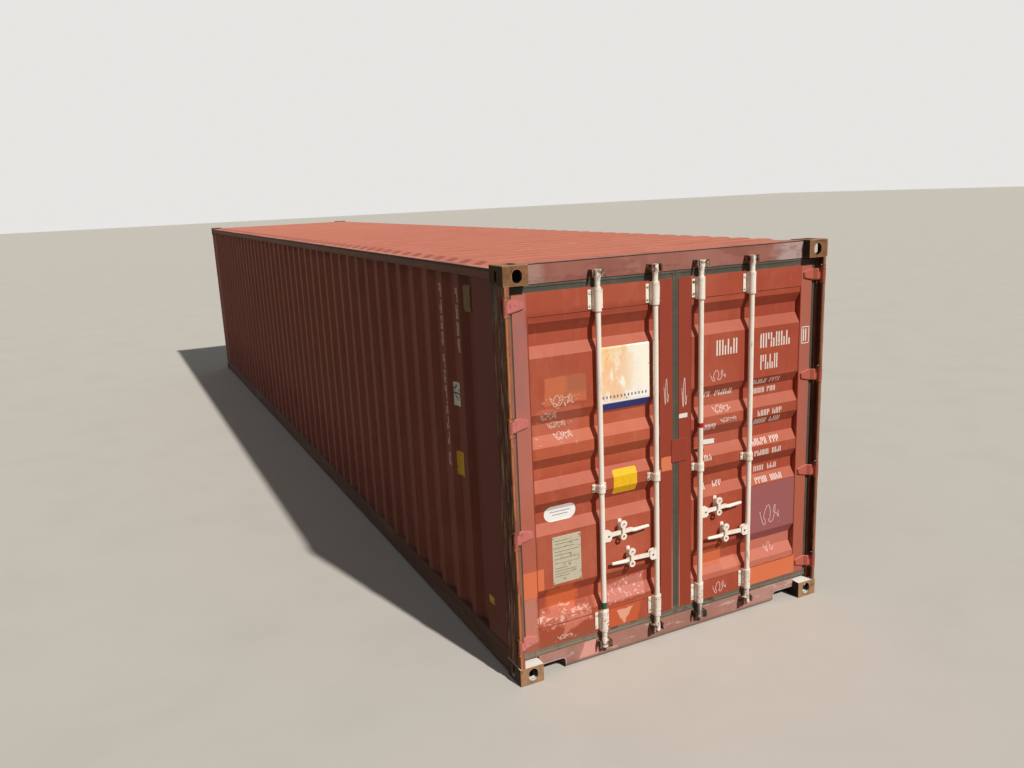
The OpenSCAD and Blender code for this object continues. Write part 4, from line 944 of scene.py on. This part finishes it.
# Fastenings, on the sizes of the brackets: half the bolts' spacing, and the places of plates and caps
END_BRACKETS = (0.265, 2.347)
GUIDE_Z = 1.165
PLATE_Y = -6.042
BOLT_OUT = 0.040
BOLT_UP = 0.039
GUIDE_BOLT_UP = 0.013
COLLAR_UP = 0.061
CAP_R = 0.025
BAR_R = 0.017


def bar_place(number):
    """A bar's axis, seen from above."""
    x, y, _ = joints[f"bar_{number}_turn"]["pos_m"]
    return x, y


def add_fastenings():
    """Bolts of the brackets and small screws in the caps' collars."""
    cream = plain("bolt_cream", (232, 220, 204), 0.5, worn=(120, 82, 60), amount=0.52)
    dark = plain("screw_dark", (70, 60, 52), 0.6, 0.3, worn=RUST, amount=0.55)
    lean = math.sqrt(0.5)
    for side, bars in (("left", (1, 2)), ("right", (3, 4))):
        bolts, screws = [], []
        for x, y in map(bar_place, bars):
            bolts += [(x + k * BOLT_OUT, PLATE_Y, z + h * BOLT_UP)
                      for z in END_BRACKETS for k in (-1, 1) for h in (-1, 1)]
            bolts += [(x + k * BOLT_OUT, PLATE_Y, GUIDE_Z + h * GUIDE_BOLT_UP)
                      for k in (-1, 1) for h in (-1, 1)]
            screws += [(x + lean * CAP_R, y - lean * CAP_R, z + h * COLLAR_UP)
                       for z in END_BRACKETS for h in (-1, 1)]
        add_bolts(f"bracket_bolts_{side}", bolts, 0.0068, 0.005, cream, f"door_{side}", "cream_paint")
        add_bolts(f"cap_screws_{side}", screws, 0.0035, 0.002, dark, f"door_{side}", "cream_paint",
                  (lean, -lean, 0))


def add_hub_pins():
    """The head of the pin that holds each handle in its hub."""
    steel = plain("pin_worn", (104, 90, 78), 0.5, 0.3, worn=RUST, amount=0.5)
    for number in range(1, 5):
        hub = front_ground(f"locking_bar_{number}", f"handle_{number}")
        x, _, z = joints[f"handle_{number}_lift"]["pos_m"]
        add_bolts(f"hub_pin_{number}", [hub.at(x, z, 0.0)], 0.0045, 0.003, steel, f"bar_{number}",
                  "cream_paint", sides=12)


def add_welds():
    """A weld bead round each door's panel, on the face of the door's frame."""
    for side in ("left", "right"):
        low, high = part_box("door_panel_" + side)
        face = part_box("door_frame_" + side)[0].y + 0.001
        corners = [(low.x, low.z), (high.x, low.z), (high.x, high.z), (low.x, high.z)]
        loop = [(x, face, z) for x, z in corners]
        bead = plain(f"bead_{side}", (150, 72, 52), 0.7, worn=(110, 66, 50), amount=0.56)
        add_beads(f"panel_beads_{side}", loop, 0.003, bead, f"door_{side}", "door_paint")


# Floor screws: the first row's place, the rows' pitch and number, and the screws' places from the middle
FIRST_SCREWS = 0.083
SCREW_PITCH = 0.3
SCREW_ROWS = 39
SCREWS_OUT = (0.06, 0.27, 0.48, 0.69, 0.90, 1.10)

# Lashing rings along the foot of both side walls
RING_OUT = 1.158
RING_UP = 0.012
FIRST_RING = -5.4
RING_PITCH = 1.2
RINGS = 10


def add_inner_fittings():
    """Floor screws over the cross members, and lashing rings."""
    low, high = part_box("floor_boards")
    metal = plain("screw_worn", (110, 96, 82), 0.45, 0.5, worn=RUST, amount=0.55)
    screws = [(k * x, low.y + FIRST_SCREWS + SCREW_PITCH * row, high.z)
              for row in range(SCREW_ROWS) for x in SCREWS_OUT for k in (-1, 1)]
    add_bolts("floor_screws", screws, 0.006, 0.0012, metal, "frame", "wall_paint", (0, 0, 1), 8)
    shaper = Shaper("lashing_rings", {"Ring radius": 0.022, "Rod radius": 0.005})
    path = shaper.form("GeometryNodeCurvePrimitiveCircle", Resolution=20, Radius=shaper.given["Ring radius"])
    rod = shaper.form("GeometryNodeCurvePrimitiveCircle", Resolution=8, Radius=shaper.given["Rod radius"])
    ring = shaper.form("GeometryNodeCurveToMesh", Curve=path, Profile_Curve=rod)
    rings = [(k * RING_OUT, FIRST_RING + RING_PITCH * n, high.z + RING_UP)
             for k in (-1, 1) for n in range(RINGS)]
    shaper.make("lashing_rings", seed_of("lashing_rings", rings), shaper.spread([ring], (1, 0, 0)),
                metal, "frame", "wall_paint")


# Tape on the bars: its two faces above the bar, and the height of its edges' waves
TAPE_UNDER = 0.0003
TAPE_OVER = 0.0014
TAPE_WAVE = 0.0015


def wrap(name, bar, low, high, colour):
    """A turn of tape round a bar, with wavy edges."""
    x, y = bar_place(bar)
    sides = 32
    form = bmesh.new()
    rings = []
    for radius, z, wave in ((BAR_R + TAPE_UNDER, low, 0.0), (BAR_R + TAPE_OVER, low, TAPE_WAVE),
                            (BAR_R + TAPE_OVER, high, TAPE_WAVE), (BAR_R + TAPE_UNDER, high, 0.0)):
        rings.append([form.verts.new((x + radius * math.cos(t), y + radius * math.sin(t),
                                      z + wave * math.sin(3 * t + z * 90)))
                      for t in [2 * math.pi * k / sides for k in range(sides)]])
    for a, b in zip(rings, rings[1:] + rings[:1]):
        for k in range(sides):
            form.faces.new((a[k], a[(k + 1) % sides], b[(k + 1) % sides], b[k]))
    finish = plain(name + "_finish", colour, 0.45, worn=(150, 120, 100), amount=0.68)
    build(name, from_bmesh(name, form), finish, f"bar_{bar}")


def add_tapes():
    """Tape left on the bars, and a bare white tag on the third, which bows and droops a little."""
    wrap("green_tape", 1, 0.355, 0.399, (44, 98, 74))
    wrap("red_tape", 3, 1.438, 1.468, (176, 40, 34))
    x, y = bar_place(3)
    low, high, reach, thick = 1.323, 1.355, 0.095, 0.0008
    columns, clear, bow, droop = 8, 0.001, 0.004, 0.004
    form = bmesh.new()
    back, front = [[[form.verts.new((x + reach * k / columns,
                                     y - BAR_R - clear - lift - bow * math.sin(2.6 * k / columns),
                                     z - droop * (k / columns) ** 2))
                     for k in range(columns + 1)] for z in (low, (low + high) / 2, high)]
                   for lift in (0.0, thick)]
    close_skin(form, front, back)
    build("white_tag", from_bmesh("white_tag", form), plain("tag_white", WHITE, 0.5), "bar_3")


def sign_finish():
    """A worn printed panel: orange fading to cream, a pale band and a blue band, with nothing on it."""
    f = Finish("sign_cream", (253, 248, 232), 0.4, gloss=0.4)
    lean = f.calc("SUBTRACT", f.z, f.calc("MULTIPLY", f.x, 1.1))
    f.coat(f.over(lean, 2.34, 2.60), (250, 206, 150), 0.9)
    faded = f.both(f.clouds(0.42, 0.56, 0.07, (1, 1, 2), 4), f.over(f.x, -0.24, -0.44))
    f.coat(faded, (246, 184, 116), 0.7)
    f.coat(f.over(f.z, 1.706, 1.704), WHITE)
    f.coat(f.over(f.z, 1.692, 1.690), (44, 62, 140))
    f.shade(f.noise(0.05, (1, 1, 4), 3, 2.0), 0.5, 0.8, 0.92)
    f.coat(f.clouds(0.68, 0.70, 0.02, detail=6, shift=8.0), BRICK)
    return f.done()


def lay_marks(name, finish, body, shape):
    """A piece of thin marks, which a function adds to a form."""
    form = bmesh.new()
    shape(form)
    build(name, from_bmesh(name, form), finish, body)


# Marks on the left door, as low and high across, then low and high up
SIGN = (-0.563, -0.200, 1.643, 2.045)
OVAL = (-0.966, -0.742, 0.993, 1.096)
OVAL_CORNER = 0.0513
OVAL_MIDDLE = -0.854
DATA_PLATE = (-0.934, -0.731, 0.590, 0.904)
YELLOW_PATCH = (-0.478, -0.302, 1.088, 1.250)

# Lines of the data plate, as their height and their share of the full length
PLATE_LEFT = -0.920
PLATE_RIGHT = -0.745
PLATE_LINES = ((0.872, 0.6), (0.852, 1.0), (0.826, 0.8), (0.800, 1.0), (0.778, 0.7), (0.752, 1.0),
               (0.690, 0.5), (0.672, 0.9), (0.654, 0.9), (0.636, 0.6))

# Chalk marks on the two doors: a box as above, and the number of loops
CHALK_LEFT = (((-0.929, -0.732, 1.719, 1.798), 5), ((-0.989, -0.851, 1.644, 1.698), 5),
              ((-0.934, -0.774, 1.585, 1.630), 5), ((-0.895, -0.734, 1.511, 1.561), 5),
              ((-0.099, -0.055, 1.606, 1.795), 2), ((-0.93, -0.80, 0.205, 0.235), 4))
CHALK_RIGHT = (((0.255, 0.426, 1.712, 1.792), 3), ((0.302, 0.469, 1.493, 1.546), 4),
               ((0.354, 0.529, 1.427, 1.457), 5), ((0.040, 0.088, 1.561, 1.785), 2),
               ((0.695, 0.931, 0.60, 0.76), 3), ((0.779, 0.883, 0.39, 0.46), 2),
               ((0.293, 0.447, 0.195, 0.285), 3))


def left_door_marks():
    """Sign, oval, data plate and yellow patch, all without words, and chalk marks."""
    door = front_ground("door_frame_left", "door_panel_left")

    def plate_lines(form):
        for z, reach in PLATE_LINES:
            right = PLATE_LEFT + reach * (PLATE_RIGHT - PLATE_LEFT)
            door.block(form, PLATE_LEFT, right, z, z + 0.004, PLATE_LINE_UP)
        door.block(form, PLATE_LEFT, PLATE_RIGHT, 0.724, 0.727, PLATE_LINE_UP)
        for x in (PLATE_LEFT - 0.006, PLATE_RIGHT + 0.004):
            for z in (0.598, 0.892):
                door.rounded(form, x - 0.004, x + 0.004, z - 0.004, z + 0.004, 0.0038, RIVET_UP)

    def oval_lines(form):
        for z, half in ((1.050, 0.075), (1.030, 0.055)):
            door.block(form, OVAL_MIDDLE - half, OVAL_MIDDLE + half, z, z + 0.006, LINE_UP)

    def sign_ticks(form):
        first, width, pitch = -0.548, 0.010, 0.0262
        for k in range(13):
            door.block(form, first + pitch * k, first + width + pitch * k, 1.722, 1.739, LINE_UP)

    def chalk(form):
        for box, loops in CHALK_LEFT:
            door.scribble(form, box, loops)

    marks = (
        ("door_sign", sign_finish(), lambda form: door.block(form, *SIGN)),
        ("white_oval", plain("oval_white", (246, 244, 240), 0.5, worn=(214, 190, 176), amount=0.66),
         lambda form: door.rounded(form, *OVAL, OVAL_CORNER)),
        ("data_plate", plain("plate_grey", (208, 198, 174), 0.45, 0.2, worn=(168, 150, 122), amount=0.58),
         lambda form: door.rounded(form, *DATA_PLATE, 0.006, PLATE_UP)),
        ("yellow_patch", plain("patch_yellow", (242, 190, 36), 0.5, worn=(214, 146, 50), amount=0.62),
         lambda form: door.rounded(form, *YELLOW_PATCH, 0.012)),
        ("plate_lines", plain("line_grey", (136, 122, 98), 0.6), plate_lines),
        ("oval_lines", plain("oval_line_grey", (172, 168, 164), 0.6), oval_lines),
        ("sign_ticks", plain("tick_blue", (104, 112, 156), 0.6), sign_ticks),
        ("chalk_left", plain("chalk_pale_left", (226, 196, 180), 0.9, worn=BRICK, amount=0.62), chalk),
    )
    for name, finish, shape in marks:
        lay_marks(name, finish, "door_left", shape)


# Rows of painted figures on the right door: low and high across, low and high along, and their number
BIG_ROWS = (((0.329, 0.515, 1.887, 1.989), 4), ((0.700, 0.973, 1.893, 1.992), 6),
            ((0.704, 0.865, 1.744, 1.845), 4), ((1.078, 1.120, 1.898, 1.984), 1))
SMALL_ROWS = (((0.651, 0.780, 1.642, 1.677), 5), ((0.806, 0.899, 1.642, 1.677), 3),
              ((0.662, 0.780, 1.575, 1.612), 5), ((0.800, 0.879, 1.575, 1.612), 3),
              ((0.231, 0.306, 1.612, 1.652), 3), ((0.345, 0.493, 1.609, 1.649), 5),
              ((0.239, 0.335, 1.393, 1.434), 4), ((0.691, 0.800, 1.421, 1.462), 4),
              ((0.822, 0.910, 1.421, 1.462), 3), ((0.674, 0.785, 1.360, 1.401), 4),
              ((0.812, 0.909, 1.360, 1.401), 3), ((0.656, 0.790, 1.216, 1.258), 5),
              ((0.815, 0.901, 1.216, 1.258), 3), ((0.670, 0.800, 1.138, 1.177), 5),
              ((0.828, 0.914, 1.138, 1.177), 3), ((0.238, 0.305, 1.181, 1.222), 3),
              ((0.224, 0.268, 0.976, 1.018), 2), ((0.331, 0.412, 0.979, 1.019), 3),
              ((0.696, 0.790, 1.013, 1.052), 3), ((0.820, 0.905, 1.013, 1.052), 3),
              ((0.692, 0.800, 0.935, 0.974), 4), ((0.830, 0.937, 0.935, 0.974), 4))


# The frame round one figure on the right stile, and a bare white label beside the seam
FRAMED = (1.066, 1.131, 1.884, 1.997)
WHITE_LABEL = (0.027, 0.094, 1.513, 1.542)


def right_door_marks():
    """Rows of plain upright bars where painted figures stand, a framed one on the stile, and chalk marks."""
    door = front_ground("door_frame_right", "door_panel_right")
    chance = random.Random(7)

    def figures(form):
        for box, count in BIG_ROWS + SMALL_ROWS:
            door.figures(form, box, count, chance)
        left, right, low, high = FRAMED
        corners = [(left, low), (right, low), (right, high), (left, high)]
        for a, b in zip(corners, corners[1:] + corners[:1]):
            door.stroke(form, [a, b], 0.006)
        door.block(form, *WHITE_LABEL)

    def chalk(form):
        for box, loops in CHALK_RIGHT:
            door.scribble(form, box, loops, 0.005)

    white = plain("marks_white", (236, 226, 214), 0.55, worn=BRICK, amount=0.62)
    lay_marks("white_figures", white, "door_right", figures)
    pale = plain("chalk_pale_right", (226, 194, 182), 0.9, worn=BRICK, amount=0.64)
    lay_marks("chalk_right", pale, "door_right", chalk)


# Upright rows of figures on the left side wall, as their middle, top and number, and the figures' own sizes
SIDE_ROWS = ((-5.095, 2.425, 4), (-5.095, 1.950, 6), (-5.095, 1.262, 1), (-5.373, 2.415, 4))
SIDE_PITCH = 0.108
SIDE_TALL = 0.092
SIDE_HALF = 0.023

# Plates and patches on the same wall: low and high along it, low and high up, and a patch's round corner
SIDE_PLATES = ((-5.276, -5.185, 1.700, 1.772), (-5.276, -5.185, 1.610, 1.690))
SIDE_PATCHES = ((-5.350, -5.180, 1.120, 1.290, 0.01), (-5.735, -5.655, 0.390, 0.440, 0.008))


def side_wall_marks():
    """On the left side wall: upright rows of figures, a pale plate in two parts and two yellow patches."""
    wall = Ground(["side_wall_left"], (0, 1, 0), (0, 0, 1), (1, 0, 0), OUTSIDE_WALL)
    chance = random.Random(11)

    def figures(form):
        for middle, top, count in SIDE_ROWS:
            for k in range(count):
                high = top - k * SIDE_PITCH
                box = (middle - SIDE_HALF, middle + SIDE_HALF, high - SIDE_TALL, high)
                wall.figures(form, box, 1, chance)

    def plates(form):
        for box in SIDE_PLATES:
            wall.block(form, *box)

    def patches(form):
        for patch in SIDE_PATCHES:
            wall.rounded(form, *patch)

    marks = (
        ("side_figures", plain("side_white", (236, 204, 192), 0.6, worn=WALL_RED, amount=0.56), figures),
        ("side_plate", plain("side_plate_white", (246, 244, 238), 0.5, worn=(110, 106, 98), amount=0.56),
         plates),
        ("side_yellow", plain("side_patch_yellow", (228, 178, 44), 0.5, worn=(150, 110, 50), amount=0.6),
         patches),
    )
    for name, finish, shape in marks:
        lay_marks(name, finish, "frame", shape)


set_camera()
set_light()
set_floor()
paint_nodes()
add_fastenings()
add_hub_pins()
add_welds()
add_inner_fittings()
add_tapes()
left_door_marks()
right_door_marks()
side_wall_marks()
